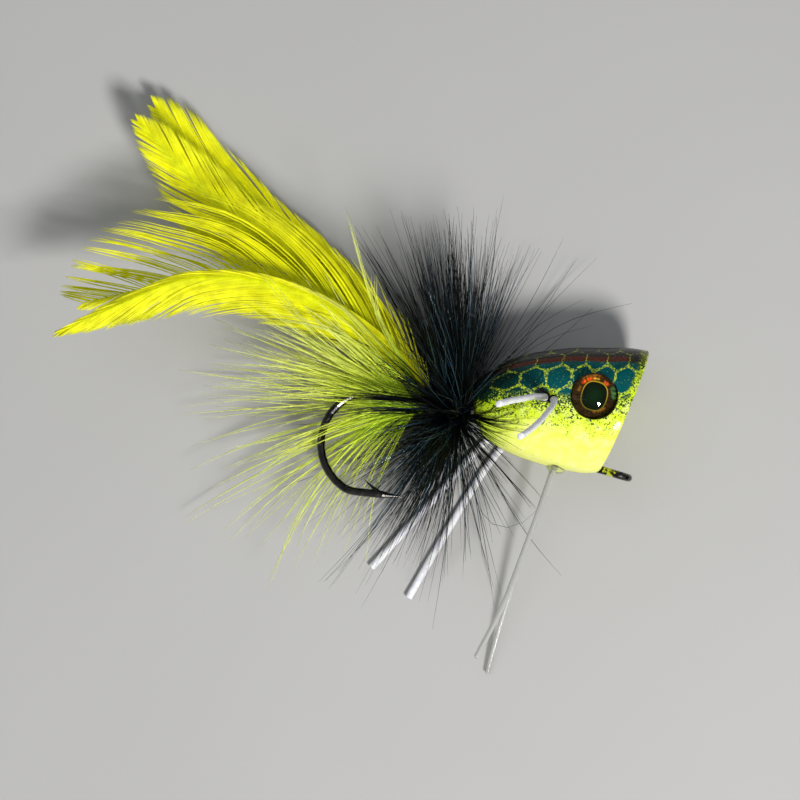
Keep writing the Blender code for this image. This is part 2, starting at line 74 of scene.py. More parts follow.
class Route:
    """A smooth curve through given points, read by distance along it."""

    def __init__(self, points):
        known = np.array(points, float)
        steps = np.linalg.norm(np.diff(known, axis=0), axis=1)
        at = np.concatenate([[0.0], np.cumsum(steps)])
        slopes = np.gradient(known, at, axis=0)
        fine = np.linspace(0.0, at[-1], 400)
        i = np.clip(np.searchsorted(at, fine, side="right") - 1, 0, len(steps) - 1)
        span = (at[i + 1] - at[i])[:, None]
        t = ((fine - at[i]) / (at[i + 1] - at[i]))[:, None]
        self.points = (
            (2 * t**3 - 3 * t**2 + 1) * known[i]
            + (t**3 - 2 * t**2 + t) * span * slopes[i]
            + (3 * t**2 - 2 * t**3) * known[i + 1]
            + (t**3 - t**2) * span * slopes[i + 1]
        )
        lengths = np.linalg.norm(np.diff(self.points, axis=0), axis=1)
        self.at = np.concatenate([[0.0], np.cumsum(lengths)])
        self.length = self.at[-1]
        self.directions = unit(np.gradient(self.points, axis=0))

    def read(self, table, distance):
        inside = np.clip(distance, 0.0, self.length)
        return np.stack([np.interp(inside, self.at, table[:, k]) for k in range(3)], axis=-1)

    def direction(self, distance):
        return unit(self.read(self.directions, distance))

    def point(self, distance):
        """The point at a distance, on a straight line past either end."""
        past = distance - np.clip(distance, 0.0, self.length)
        return self.read(self.points, distance) + self.direction(distance) * past[..., None]


def linked(name, data):
    """A new object in the scene."""
    made = bpy.data.objects.new(name, data)
    bpy.context.scene.collection.objects.link(made)
    return made


def mesh_object(name, verts, faces, finish, body=None):
    """A new piece from vertices in the row frame, riding on a body if one is named."""
    data = bpy.data.meshes.new(name)
    data.from_pydata(verts.tolist(), [], faces)
    data.materials.append(finish)
    data.shade_smooth()
    made = linked(name, data)
    if body:
        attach(made, body)
    return made


def tube_parts(paths, half_widths, half_depths, facing, sides):
    """Vertices and faces of closed tapered tubes.

    paths is (count, points, 3) in millimetres; the half sizes are (count, points); facing is the
    direction of the tubes' depth, one for all or one for each.
    """
    count, points, _ = paths.shape
    forward = unit(np.gradient(paths, axis=1))
    facing = np.broadcast_to(np.asarray(facing, float), (count, 3))[:, None, :]
    across = unit(np.cross(facing, forward))
    depth = unit(np.cross(forward, across))
    turns = 2 * np.pi * (np.arange(sides) + 0.5) / sides
    verts = (
        paths[:, :, None, :]
        + across[:, :, None, :] * half_widths[:, :, None, None] * np.cos(turns)[None, None, :, None]
        + depth[:, :, None, :] * half_depths[:, :, None, None] * np.sin(turns)[None, None, :, None]
    )
    ring = np.arange(sides)
    after = (ring + 1) % sides
    start = (np.arange(count)[:, None] * points + np.arange(points - 1)[None, :]) * sides
    quads = np.stack(
        [
            start[..., None] + ring,
            start[..., None] + after,
            start[..., None] + sides + after,
            start[..., None] + sides + ring,
        ],
        axis=-1,
    ).reshape(-1, 4)
    first = np.arange(count)[:, None] * points * sides + ring[::-1]
    last = (np.arange(count)[:, None] * points + points - 1) * sides + ring
    faces = quads.tolist() + first.tolist() + last.tolist()
    return verts.reshape(-1, 3), faces


def needle_parts(roots, tips, radius, offset):
    """Vertices and faces of closed three-sided needles, numbered from offset."""
    count = len(roots)
    forward = unit(tips - roots)
    across = unit(np.cross(forward, (0.31, 0.17, 0.93)))
    depth = np.cross(forward, across)
    verts = np.empty((count, 4, 3))
    for k in range(3):
        turn = 2 * np.pi * k / 3
        verts[:, k] = roots + radius * (across * math.cos(turn) + depth * math.sin(turn))
    verts[:, 3] = tips
    start = offset + 4 * np.arange(count)[:, None]
    corners = np.array([[0, 1, 3], [1, 2, 3], [2, 0, 3], [2, 1, 0]])
    faces = (start[:, :, None] + corners[None]).reshape(-1, 3).tolist()
    return verts.reshape(-1, 3), faces


def number_along(data, name, values):
    """A number at each vertex, for a material to read."""
    data.attributes.new(name, "FLOAT", "POINT").data.foreach_set("value", values.astype(np.float32))


def fibres(name, paths, half_widths, half_depths, facing, sides, finish, body, rng, extra=None, glossy=None):
    """One piece of many tapered fibres. Each has a tint of its own and knows its root from its tip.

    glossy is a second finish and which of the fibres have it.
    """
    verts, faces = tube_parts(paths, half_widths, half_depths, facing, sides)
    count, points, _ = paths.shape
    tint = np.repeat(rng.random(count), points * sides)
    along = np.tile(np.repeat(np.linspace(0.0, 1.0, points), sides), count)
    for more_verts, more_faces, more_along, more_tint in extra or []:
        verts = np.concatenate([verts, more_verts])
        faces += more_faces
        along = np.concatenate([along, more_along])
        tint = np.concatenate([tint, more_tint])
    verts[:, 2] = np.maximum(verts[:, 2], LOWEST)
    made = mesh_object(name, place(verts), faces, finish, body)
    number_along(made.data, "along", along)
    number_along(made.data, "tint", tint)
    if glossy:
        made.data.materials.append(glossy[0])
        chosen = glossy[1].astype(np.int32)
        slots = np.concatenate([np.repeat(chosen, (points - 1) * sides), chosen, chosen])
        made.data.polygons.foreach_set("material_index", slots)
    return made


# Materials


def operator(operation):
    """A method of Value that adds one Math node."""

    def method(self, *others):
        return self.finish.math(operation, self, *others)

    return method


class Value:
    """The output of a shader node. Arithmetic on it adds nodes to its finish."""

    __add__ = operator("ADD")
    __sub__ = operator("SUBTRACT")
    __mul__ = operator("MULTIPLY")
    __truediv__ = operator("DIVIDE")
    __mod__ = operator("FLOORED_MODULO")
    __pow__ = operator("POWER")
    __abs__ = operator("ABSOLUTE")
    square_root = operator("SQRT")
    at_least = operator("MAXIMUM")
    at_most = operator("MINIMUM")

    def __init__(self, finish, socket):
        self.finish = finish
        self.socket = socket

    def __rsub__(self, other):
        return self.finish.math("SUBTRACT", other, self)

    def degrees_over(self, across):
        """The angle whose height is this value and whose width is the other."""
        turn = self.finish.math("ARCTAN2", self, across)
        return self.finish.math("DEGREES", turn)

    def parts(self):
        """The x, y and z of a vector."""
        split = self.finish.add("SeparateXYZ", self)
        return [Value(self.finish, socket) for socket in split.outputs]

    def scaled(self, factor):
        """A vector or colour times a number."""
        node = self.finish.add("VectorMath", self, operation="SCALE")
        self.finish.put(node.inputs["Scale"], factor)
        return Value(self.finish, node.outputs[0])

    def noise(self, scale, detail=2.0, roughness=0.5):
        """Noise read at this vector."""
        node = self.finish.add("TexNoise", self)
        for key, value in (("Scale", scale), ("Detail", detail), ("Roughness", roughness)):
            self.finish.put(node.inputs[key], value)
        return Value(self.finish, node.outputs["Fac"])

    def ramp(self, *stops):
        """A colour that changes over stops of (position, colour)."""
        node = self.finish.add("ValToRGB", self)
        elements = node.color_ramp.elements
        while len(elements) < len(stops):
            elements.new(0.5)
        for element, (at, colour) in zip(elements, stops):
            element.position = at
            element.color = (*colour, 1.0)
        return Value(self.finish, node.outputs["Color"])

    def span(self, low, high, to_low=0.0, to_high=1.0):
        """This value from low to high, mapped softly to another range."""
        node = self.finish.add("MapRange", self, low, high, to_low, to_high, interpolation_type="SMOOTHSTEP")
        return Value(self.finish, node.outputs[0])

    def mix(self, first, second):
        """The first colour where this value is 0, and the second where it is 1."""
        node = self.finish.add("Mix", self, data_type="RGBA")
        self.finish.put(node.inputs[6], first)
        self.finish.put(node.inputs[7], second)
        return Value(self.finish, node.outputs[2])


class Finish:
    """A Principled material whose colour, roughness and bump come from procedural nodes."""

    def __init__(self, name, **values):
        self.material = bpy.data.materials.new(name)
        self.material.use_nodes = True
        self.tree = self.material.node_tree
        self.shader = self.tree.nodes["Principled BSDF"]
        for key, value in values.items():
            self.set(key.replace("_", " "), value)

    def put(self, socket, value):
        """Link a node's output, or set a plain number or colour."""
        if isinstance(value, Value):
            self.tree.links.new(value.socket, socket)
        elif isinstance(value, bpy.types.NodeSocket):
            self.tree.links.new(value, socket)
        elif isinstance(value, tuple) and socket.type == "RGBA":
            socket.default_value = (*value, 1.0)
        else:
            socket.default_value = value

    def set(self, key, value):
        self.put(self.shader.inputs[key], value)

    def add(self, kind, *values, **settings):
        """A new node with its settings and its first inputs."""
        node = self.tree.nodes.new(f"ShaderNode{kind}")
        for key, setting in settings.items():
            setattr(node, key, setting)
        for socket, value in zip(node.inputs, values):
            self.put(socket, value)
        return node

    def math(self, operation, *values):
        return Value(self, self.add("Math", *values, operation=operation).outputs[0])

    def position(self):
        """Where a point is, in millimetres in the row frame."""
        return Value(self, self.add("TexCoord").outputs["Object"]).scaled(1 / MM)

    def vector(self, x, y, z=0.0):
        return Value(self, self.add("CombineXYZ", x, y, z).outputs[0])

    def read(self, name):
        """A number that the mesh holds at each vertex."""
        return Value(self, self.add("Attribute", attribute_name=name).outputs["Fac"])

    def bump(self, height, strength, distance=0.0001):
        node = self.add("Bump")
        for key, value in (("Strength", strength), ("Distance", distance), ("Height", height)):
            self.put(node.inputs[key], value)
        self.set("Normal", node.outputs[0])

    def let_light_through(self, tint):
        """Shadows of clear pieces stay pale: lamps shine through, diffuse and glossy bounces pass straight
        through, and only camera and refracted rays see the glass.
        """
        clear = self.add("BsdfTransparent", tint)
        rays = self.add("LightPath").outputs
        scattered = self.math("MAXIMUM", rays["Is Diffuse Ray"], rays["Is Glossy Ray"])
        through = self.math("MAXIMUM", rays["Is Shadow Ray"], scattered)
        both = self.add("MixShader", through, self.shader.outputs[0], clear.outputs[0])
        output = self.tree.nodes["Material Output"]
        self.put(output.inputs["Surface"], both.outputs[0])


def fibre_finish(name, root, middle, tip, spread, roughness, **values):
    """A finish for fibres: colours from root to tip, varied by spread from one fibre to the next."""
    finish = Finish(name, **values)
    along = finish.read("along")
    tint = finish.read("tint")
    base = along.ramp((0.0, root), (0.45, middle), (1.0, tip))
    light = tint * spread + (1.0 - spread * 0.6)
    patch = finish.position().noise(0.5, 3.0)
    finish.set("Base Color", base.scaled(light * patch.span(0.3, 0.7, 0.85, 1.1)))
    low, high = roughness
    finish.set("Roughness", finish.position().noise(4.0).span(0.3, 0.7, low, high))
    return finish.material


# The middle of the head's height rises towards the face, and the face leans forward at the top
MIDDLE_SLOPE = 0.19
MIDDLE_Y = 8.45
FACE_SLOPE = 0.112
FACE_X = -2.32
# Shape of the pupil and its ring: 2 is an ellipse, and more is squarer
PUPIL_POWER = 2.5
# The belly's yellow, made paler partly by a painted sheen where the key lamp falls on the belly
BELLY_YELLOW_AND_SHEEN = (0.93, 0.97, 0.2)
# Between the scales near the back
NET_YELLOW = (0.55, 0.62, 0.02)


def head_finish():
    """Airbrushed scales over fluorescent yellow, under a gloss coat."""
    finish = Finish("head_paint", Coat_Weight=0.45, Coat_Roughness=0.05, Coat_IOR=1.36,
                    Specular_IOR_Level=0.05)
    position = finish.position()
    x, y, z = position.parts()
    along = x - EYE_TO_MIDDLE
    # Angle round the head: 0 at its widest, 90 on the ridge of the back
    up = y - (along * MIDDLE_SLOPE + MIDDLE_Y)
    out = abs(z - SHANK_HEIGHT) / WIDTH_TO_HEIGHT
    angle = up.degrees_over(out)
    to_face = y * FACE_SLOPE + FACE_X - along
    wander = position.noise(0.45, 2.0)
    sway = wander * 0.44 - 0.22
    ripple = position.noise(2.2, 3.0) * 0.18 - 0.09
    # The netting the scales were sprayed through, stretched a little more at the rear
    column = (along * 0.0033 + 0.4075) * along + 6.18 + sway + ripple
    row = (angle - FIRST_SCALE_ROW) / SCALE_ROW + ripple * 0.9
    # Distance from the centre of the nearest scale, 0 to 0.5 at the net between scales
    height = math.sqrt(3)
    offsets = []
    for shift in (0.0, 0.5):
        a = column + (50.5 + shift)
        b = row * (height / 2) + height * (30 + 0.5 + shift)
        a = abs(a % 1.0 - 0.5)
        b = abs(b % height - height / 2)
        hexagon = a.at_least(a * 0.5 + b * (height / 2))
        circle = (a * a + b * b).square_root()
        offsets.append(hexagon * 0.58 + circle * 0.42)
    distance = offsets[0].at_most(offsets[1])
    thick = position.noise(0.9, 2.0) * 0.085 + 0.402
    high = angle.span(40.0, 56.0, 0.0, 0.036)
    scale_mask = (distance - (thick + high)).span(-0.01, 0.016, 1.0, 0.0)
    gaps = position.noise(1.3, 3.0, 0.6).span(0.47, 0.53)
    covered = angle.span(50.0, 60.0, 0.0, 0.85) * gaps
    scale_mask = scale_mask.at_least(covered)
    # Paint thins out into speckle below the lowest row of scales and along the face
    blown = position.noise(0.6, 3.0) * 14.0 - 7.0
    level = angle + blown
    face = to_face + (position.noise(1.1, 3.0) * 1.6 - 0.8)
    behind_face = face.span(0.5, 1.3)
    full = level.span(8.0, 15.0) * behind_face
    speckle = position.noise(3.6, 5.0, 0.8)
    # Towards the rear the speckle reaches lower: partly overspray, partly painted shade under the hackle
    rear = along.span(-19.5, -10.0, 1.0, 0.0)
    lowered = rear * 8.0 + level
    cover = lowered.span(-52.0, 17.0) ** 1.7
    cover = cover * face.span(-0.1, 1.4, 0.72, 1.0)
    limit = 0.638 - cover * 0.185
    # Thicker still at the very rear, partly painted shade under the hackle
    tail_end = along.span(-20.6, -18.7, 1.0, 0.0) * angle.span(-14.0, 8.0)
    limit = limit - tail_end * 0.2
    in_scale = distance.span(0.36, 0.47, 0.0, 0.05)
    specks = (speckle - (limit + in_scale)).span(-0.012, 0.016)
    dots = position.noise(2.1, 1.0).span(0.655, 0.675)
    dots = dots * lowered.span(-34.0, -12.0)
    dark = (scale_mask * full).at_least(specks.at_least(dots))
    # Flecks of yellow inside the scales
    fleck = position.noise(4.6, 4.0, 0.75).span(0.625, 0.66, 0.0, 0.6)
    dark = dark * (1.0 - fleck)
    # The rear tip dark: partly paint, partly painted shade under the hackle
    dark = dark.at_least(along.span(-20.3, -18.4, 0.9, 0.0) * angle.span(-10.0, 10.0))
    # Inside the cup only a little of it lands
    deep = to_face / CUP_DEPTH
    high_up = (y - CUP_CENTRE_Y) / CUP_HALF_HEIGHT
    aside = (z - SHANK_HEIGHT) / CUP_HALF_WIDTH
    ball = deep * deep + high_up * high_up + aside * aside
    outside = (ball + (speckle * 0.8 - 0.4)).span(1.05, 1.16)
    dark = dark * outside
    # Colours
    shade = position.noise(0.35, 3.0)
    teal = shade.span(0.35, 0.65).mix((0.001, 0.062, 0.064), (0.0005, 0.09, 0.1))
    # Near-black green towards the rear: partly the paint, partly painted shade under the hackle
    teal = along.span(-19.0, -12.5, 0.85, 0.0).mix(teal, (0.002, 0.018, 0.012))
    teal = full.mix((0.003, 0.042, 0.02), teal)
    # Painted reflection: a red-brown band along the back stands in for a reflection along the ridge, near
    # black at the rear and the face. Above it come a black line and the charcoal back.
    band = angle + (wander * 5.0 - 2.5)
    ends = along.span(-20.0, -17.0) * to_face.span(1.4, 3.0)
    reflection_band = ends.mix((0.006, 0.007, 0.006), (0.1, 0.012, 0.002))
    painted = band.span(48.5, 50.5).mix(teal, reflection_band)
    painted = band.span(56.5, 58.5).mix(painted, (0.002, 0.002, 0.002))
    painted = band.span(60.0, 63.5).mix(painted, (0.01, 0.011, 0.01))
    # Paler towards the belly: the yellow paint, with a painted sheen on the lit side
    yellow = angle.span(-60.0, 5.0).mix(BELLY_YELLOW_AND_SHEEN, (0.72, 0.93, 0.012))
    blotch = position.noise(0.8, 4.0, 0.6)
    yellow = blotch.span(0.42, 0.72, 0.0, 0.55).mix(yellow, (0.99, 1.0, 0.45))
    yellow = along.span(-19.5, -13.0, 0.8, 0.0).mix(yellow, (0.6, 0.86, 0.006))
    yellow = outside.mix(BELLY_YELLOW_AND_SHEEN, yellow)
    net = (angle.span(5.0, 40.0) * outside).mix(yellow, (0.66, 0.86, 0.04))
    net = (angle.span(48.0, 62.0) * outside).mix(net, NET_YELLOW)
    dust = position.noise(6.5, 4.0, 0.85).span(0.52, 0.64, 0.0, 0.5)
    dust = dust * cover * outside
    net = dust.mix(net, (0.03, 0.16, 0.02))
    finish.set("Base Color", dark.mix(net, painted))
    finish.set("Roughness", dark.span(0.0, 1.0, 0.45, 0.32))
    wave = position.noise(0.55, 2.0)
    finish.bump(dark * 0.18 + wave, 0.14, 0.0003)
    return finish.material


def wire_finish():
    """Black nickel hook wire, with paint left on the neck of the eye."""
    finish = Finish("hook_wire", Coat_Weight=0.5, Coat_Roughness=0.08)
    position = finish.position()
    x, _, z = position.parts()
    cloud = position.noise(0.5, 4.0, 0.6)
    metal = cloud.span(0.35, 0.65).mix((0.03, 0.029, 0.034), (0.085, 0.078, 0.068))
    scratch = finish.vector(x * 0.6, z).noise(9.0, 3.0)
    metal = scratch.span(0.55, 0.75, 0.0, 0.5).mix(metal, (0.24, 0.23, 0.22))
    along = x - EYE_TO_MIDDLE
    edge = position.noise(1.4, 3.0) * 3.2 - 1.6
    here = abs(along + 1.15 + edge)
    paint = here.span(0.25, 0.45, 1.0, 0.0)
    paint = paint * along.span(-3.5, -2.6)
    finish.set("Base Color", paint.mix(metal, NET_YELLOW))
    finish.set("Metallic", 1.0 - paint)
    finish.set("Roughness", cloud.span(0.3, 0.7, 0.1, 0.22))
    finish.bump(scratch, 0.08, 0.00005)
    return finish.material


def foil_finish():
    """Printed holographic foil: dark pupil, thin yellow ring, amber iris with painted coloured glints."""
    finish = Finish("eye_foil", Specular_IOR_Level=0.0)
    position = finish.position()
    x, y, _ = position.parts()
    u = x - EYE_TO_MIDDLE - EYE_X
    v = y - EYE_Y
    boxy = (abs(u * 1.1) ** PUPIL_POWER + abs(v * 0.96) ** PUPIL_POWER) ** (1 / PUPIL_POWER)
    from_middle = (u * u + v * v).square_root()
    turn = v.degrees_over(u)
    rays = finish.vector(turn * 0.14, from_middle * 0.9)
    streaks = rays.noise(1.0, 3.0, 0.6)
    grain = position.noise(6.0, 3.0, 0.7)
    iris = streaks.span(0.35, 0.68).mix((0.014, 0.008, 0.003), (0.045, 0.026, 0.008))
    iris = grain.span(0.45, 0.75, 0.0, 0.5).mix(iris, (0.07, 0.045, 0.014))
    # Painted glints, the foil's reflections put into its colour: orange over the top, gold beside them, green
    # towards the face
    for towards, width, inner, outer, colour, strength in (
        (128.0, 30.0, 1.95, 2.35, (0.95, 0.11, 0.01), 0.95),
        (110.0, 42.0, 2.35, 2.75, (0.33, 0.12, 0.015), 0.8),
        (100.0, 16.0, 2.05, 2.25, (1.0, 0.55, 0.04), 0.9),
        (62.0, 13.0, 1.95, 2.35, (0.95, 0.14, 0.02), 0.85),
        (24.0, 22.0, 2.15, 2.85, (0.10, 0.34, 0.10), 0.7),
        (178.0, 24.0, 1.9, 2.2, (0.42, 0.16, 0.02), 0.6),
        (-55.0, 34.0, 1.75, 2.05, (0.50, 0.16, 0.02), 0.6),
    ):
        away = abs(turn - towards)
        near = away.span(width * 0.4, width, 1.0, 0.0)
        rise = from_middle.span(inner - 0.12, inner + 0.1)
        fall = from_middle.span(outer - 0.1, outer + 0.12, 1.0, 0.0)
        broken = streaks.span(0.38, 0.6, 0.15, 1.0) * strength
        iris = (near * broken * (rise * fall)).mix(iris, colour)
    iris = from_middle.span(2.62, 2.92).mix(iris, (0.012, 0.008, 0.004))
    upper = v.span(-1.0, 1.2)
    ring = upper.mix((0.17, 0.14, 0.01), (0.5, 0.32, 0.015))
    ringed = boxy.span(1.7, 1.8, 1.0, 0.0).mix(iris, ring)
    pupil = boxy.span(0.2, 1.5).mix((0.004, 0.02, 0.005), (0.004, 0.009, 0.003))
    finish.set("Base Color", boxy.span(1.6, 1.66, 1.0, 0.0).mix(ringed, pupil))
    finish.set("Metallic", boxy.span(1.75, 2.0, 0.0, 0.3))
    finish.set("Roughness", grain.span(0.3, 0.7, 0.5, 0.7))
    return finish.material


def clear_finish(name, colour, transmission, roughness, ior, tint, bump):
    """A clear or cloudy plastic that lamps shine through."""
    finish = Finish(name, Transmission_Weight=transmission, IOR=ior)
    position = finish.position()
    cloud = position.noise(1.2, 3.0)
    finish.set("Base Color", cloud.span(0.3, 0.7, 0.0, 0.5).mix(colour, tuple(0.93 * c for c in colour)))
    finish.set("Roughness", cloud.span(0.3, 0.7, roughness * 0.7, roughness * 1.3))
    if bump:
        finish.bump(position.noise(2.5, 3.0), bump, 0.0001)
    finish.let_light_through(tint)
    return finish.material


def rubber_finish():
    """Pale, slightly translucent rubber strand."""
    finish = Finish("leg_rubber", Subsurface_Weight=0.7, Subsurface_Scale=0.0012, Specular_IOR_Level=0.25)
    finish.set("Subsurface Radius", (1.0, 0.9, 1.1))
    position = finish.position()
    cloud = position.noise(0.9, 3.0)
    streak = position.noise(3.5, 2.0)
    base = cloud.span(0.35, 0.65).mix((0.74, 0.74, 0.84), (0.86, 0.86, 0.92))
    finish.set("Base Color", streak.span(0.5, 0.75, 0.0, 0.5).mix(base, (0.6, 0.61, 0.7)))
    finish.set("Roughness", cloud.span(0.3, 0.7, 0.32, 0.5))
    finish.bump(streak, 0.2, 0.0001)
    return finish.material


def thread_finish():
    """Waxed tying thread."""
    finish = Finish("tying_thread")
    position = finish.position()
    grain = position.noise(8.0, 3.0)
    finish.set("Base Color", grain.span(0.3, 0.7).mix((0.004, 0.005, 0.004), (0.03, 0.035, 0.03)))
    finish.set("Roughness", grain.span(0.3, 0.7, 0.35, 0.6))
    finish.bump(grain, 0.3, 0.00003)
    return finish.material


def floor_finish():
    """Plain pale table."""
    finish = Finish("floor")
    cloud = finish.position().noise(0.02, 3.0)
    finish.set("Base Color", cloud.span(0.2, 0.8).mix((0.43, 0.427, 0.422), (0.445, 0.442, 0.438)))
    finish.set("Roughness", 0.75)
    return finish.material


# Head

# Rows of scales round the head, in degrees from its widest towards the back
FIRST_SCALE_ROW = 28.5
SCALE_ROW = 24.2

FACE_BOTTOM = (-2.4, -0.7)
FACE_TOP = (-0.4, 17.1)
BELLY = [FACE_BOTTOM, (-4.6, -1.2), (-7.3, -1.5), (-10.0, -1.6), (-12.8, -1.5),
         (-15.7, -1.1), (-17.5, -0.5), (-18.9, 0.3), (-19.5, 1.2)]
BACK = [FACE_TOP, (-3.4, 16.5), (-6.8, 15.5), (-9.6, 14.7), (-12.2, 13.7),
        (-15.1, 12.3), (-17.8, 10.5), (-19.9, 8.4), (-21.2, 6.9)]
WIDTH_TO_HEIGHT = 0.92
CUP_CENTRE_Y = 8.5
CUP_HALF_HEIGHT = 7.2
CUP_HALF_WIDTH = 6.8
CUP_DEPTH = 3.2
RIM_ROUNDING = 0.35
REAR_ROUNDING = 0.62
# The sides bend in towards the face, by a share of the size over a share of the length
FACE_ROLL = 0.026
FACE_ROLL_LENGTH = 0.13
HEAD_SIDES = 112
HEAD_SECTIONS = 64
# Heights that a cutter reaches to pass right through the head
CUT_LOW = -3.0
CUT_HIGH = 20.0
SLOT_REAR = -22.5
SLOT_FRONT = 1.0
BELOW_HEAD = -4.0

EYE_X = -6.2
EYE_Y = 9.0
EYE_RADIUS = 3.0
SOCKET_FLOOR = 6.6
SOCKET_TOP = 12.0
SOCKET_GAP = 0.12
GAP = 0.3
FOIL_THICKNESS = 0.25
DOME_EDGE = 0.2

WIRE_RADIUS = 0.54
KINK_X = -12.2
KINK_RISE = 2.8
KINK_HALF_LENGTH = 4.2
REAR_SHANK_Y = 1.7
LEG_HOLES = ((-12.9, 7.45, 0.62), (-12.35, 7.1, 0.72), (-11.2, 7.0, 0.66))
PRONG_X = -8.2
PRONG_SPREAD = 1.9
PRONG_RADIUS = 0.35
PRONG_HOLE_TOP = 1.7


def head_outline(x):
    """The middle and half height of the head at x."""
    top = np.interp(-x, [-p[0] for p in BACK], [p[1] for p in BACK])
    bottom = np.interp(-x, [-p[0] for p in BELLY], [p[1] for p in BELLY])
    return (top + bottom) / 2, (top - bottom) / 2


def head_rings():
    """Rings of the head's skin from the rear tip, along the side, round the rim and into the cup."""
    belly = Route([(*p, 0) for p in BELLY])
    back = Route([(*p, 0) for p in BACK])
    turns = 2 * np.pi * np.arange(HEAD_SIDES) / HEAD_SIDES

    def ring(middle, up, wide):
        flat = middle + np.cos(turns)[:, None] * up
        flat[:, 2] = SHANK_HEIGHT + np.sin(turns) * wide
        return flat

    sides = []
    for t in np.linspace(0.0, 1.0, HEAD_SECTIONS):
        low = belly.point(np.array(t * belly.length))
        high = back.point(np.array(t * back.length))
        rolled = 1.0 - FACE_ROLL * max(0.0, 1.0 - t / FACE_ROLL_LENGTH) ** 2
        sides.append(((low + high) / 2, (high - low) / 2 * rolled))
    rings = []
    middle, up = sides[-1]
    backwards = -np.array([up[1], -up[0], 0]) / np.linalg.norm(up)
    for turn in np.radians(np.linspace(88, 10, 10)):
        round_up = up * math.cos(turn)
        wide = np.linalg.norm(round_up) * WIDTH_TO_HEIGHT
        rings.append(ring(middle + backwards * REAR_ROUNDING * math.sin(turn), round_up, wide))
    for middle, up in reversed(sides):
        rings.append(ring(middle, up, np.linalg.norm(up) * WIDTH_TO_HEIGHT))
    middle, up = sides[0]
    half = np.linalg.norm(up)
    forward = np.array([up[1], -up[0], 0]) / half
    rings.pop()
    for turn in np.radians(np.linspace(0, 90, 7)):
        shrink = RIM_ROUNDING * (1 - math.cos(turn))
        step = RIM_ROUNDING * (math.sin(turn) - 1)
        wide = half * WIDTH_TO_HEIGHT - shrink
        rings.append(ring(middle + forward * step, up * (half - shrink) / half, wide))
    direction = up / half
    cup_middle = middle + direction * (CUP_CENTRE_Y - middle[1])
    high = direction * (CUP_HALF_HEIGHT + RIM_ROUNDING)
    rings.append(ring(cup_middle, high, CUP_HALF_WIDTH + RIM_ROUNDING))
    for turn in np.radians(np.linspace(15, 90, 6)):
        grow = RIM_ROUNDING * (1 - math.sin(turn))
        step = -RIM_ROUNDING * (1 - math.cos(turn))
        high = direction * (CUP_HALF_HEIGHT + grow)
        rings.append(ring(cup_middle + forward * step, high, CUP_HALF_WIDTH + grow))
    for turn in np.radians(np.linspace(8, 88, 16)):
        step = -RIM_ROUNDING - (CUP_DEPTH - RIM_ROUNDING) * math.sin(turn)
        high = direction * CUP_HALF_HEIGHT * math.cos(turn)
        rings.append(ring(cup_middle + forward * step, high, CUP_HALF_WIDTH * math.cos(turn)))
    return rings


def skin(rings):
    """Vertices and faces of a closed skin over rings."""
    sides = len(rings[0])
    verts = np.concatenate(rings)
    ring = np.arange(sides)
    after = (ring + 1) % sides
    faces = []
    for i in range(len(rings) - 1):
        start = i * sides
        quads = [start + ring, start + after, start + sides + after, start + sides + ring]
        faces += np.stack(quads, axis=1).tolist()
    faces.append(ring[::-1].tolist())
    faces.append(((len(rings) - 1) * sides + ring).tolist())
    return verts, faces


def closed(name, verts, faces, finish=None):
    """A mesh with its faces pointing out, before it rides on anything."""
    data = bpy.data.meshes.new(name)
    data.from_pydata(place(verts).tolist(), [], faces)
    bm = bmesh.new()
    bm.from_mesh(data)
    bmesh.ops.recalc_face_normals(bm, faces=bm.faces)
    bm.to_mesh(data)
    bm.free()
    if finish:
        data.materials.append(finish)
    return linked(name, data)


def rod(name, low, high, radius, axis, sides):
    """A straight round cutter from low to high."""
    path = np.linspace(low, high, 2)[None]
    size = np.full((1, 2), radius)
    verts, faces = tube_parts(path, size, size, axis, sides)
    return closed(name, verts, faces)


def cut(target, cutters):
    """Subtract cutters for good, and remove them."""
    for cutter in cutters:
        modifier = target.modifiers.new("cut", "BOOLEAN")
        modifier.operation = "DIFFERENCE"
        modifier.object = cutter
    bpy.context.view_layer.update()
    shape = bpy.data.meshes.new_from_object(target.evaluated_get(bpy.context.evaluated_depsgraph_get()))
    target.modifiers.clear()
    target.data = shape
    for cutter in cutters:
        bpy.data.objects.remove(cutter)


def shank_rise(x):
    """Height of the shank's middle above the eye's line: level, over the kink, level again."""
    offset = (x - KINK_X) / KINK_HALF_LENGTH
    level = np.where(offset > 0, 0.0, REAR_SHANK_Y)
    return level + (KINK_RISE - level) * 0.5 * (1 + np.cos(np.pi * np.clip(offset, -1, 1)))


def slot_cutter():
    """The slot for the kinked shank, open towards the belly."""
    half = WIRE_RADIUS + GAP
    xs = np.linspace(SLOT_REAR, SLOT_FRONT, 60)
    outline = list(zip(xs, shank_rise(xs) + half)) + [(SLOT_FRONT, BELOW_HEAD), (SLOT_REAR, BELOW_HEAD)]
    flat = np.array([(x, y, SHANK_HEIGHT + out) for out in (-half, half) for x, y in outline])
    count = len(outline)
    walls = [[i, (i + 1) % count, count + (i + 1) % count, count + i] for i in range(count)]
    return closed("slot", flat, walls + [list(range(count))[::-1], list(range(count, 2 * count))])


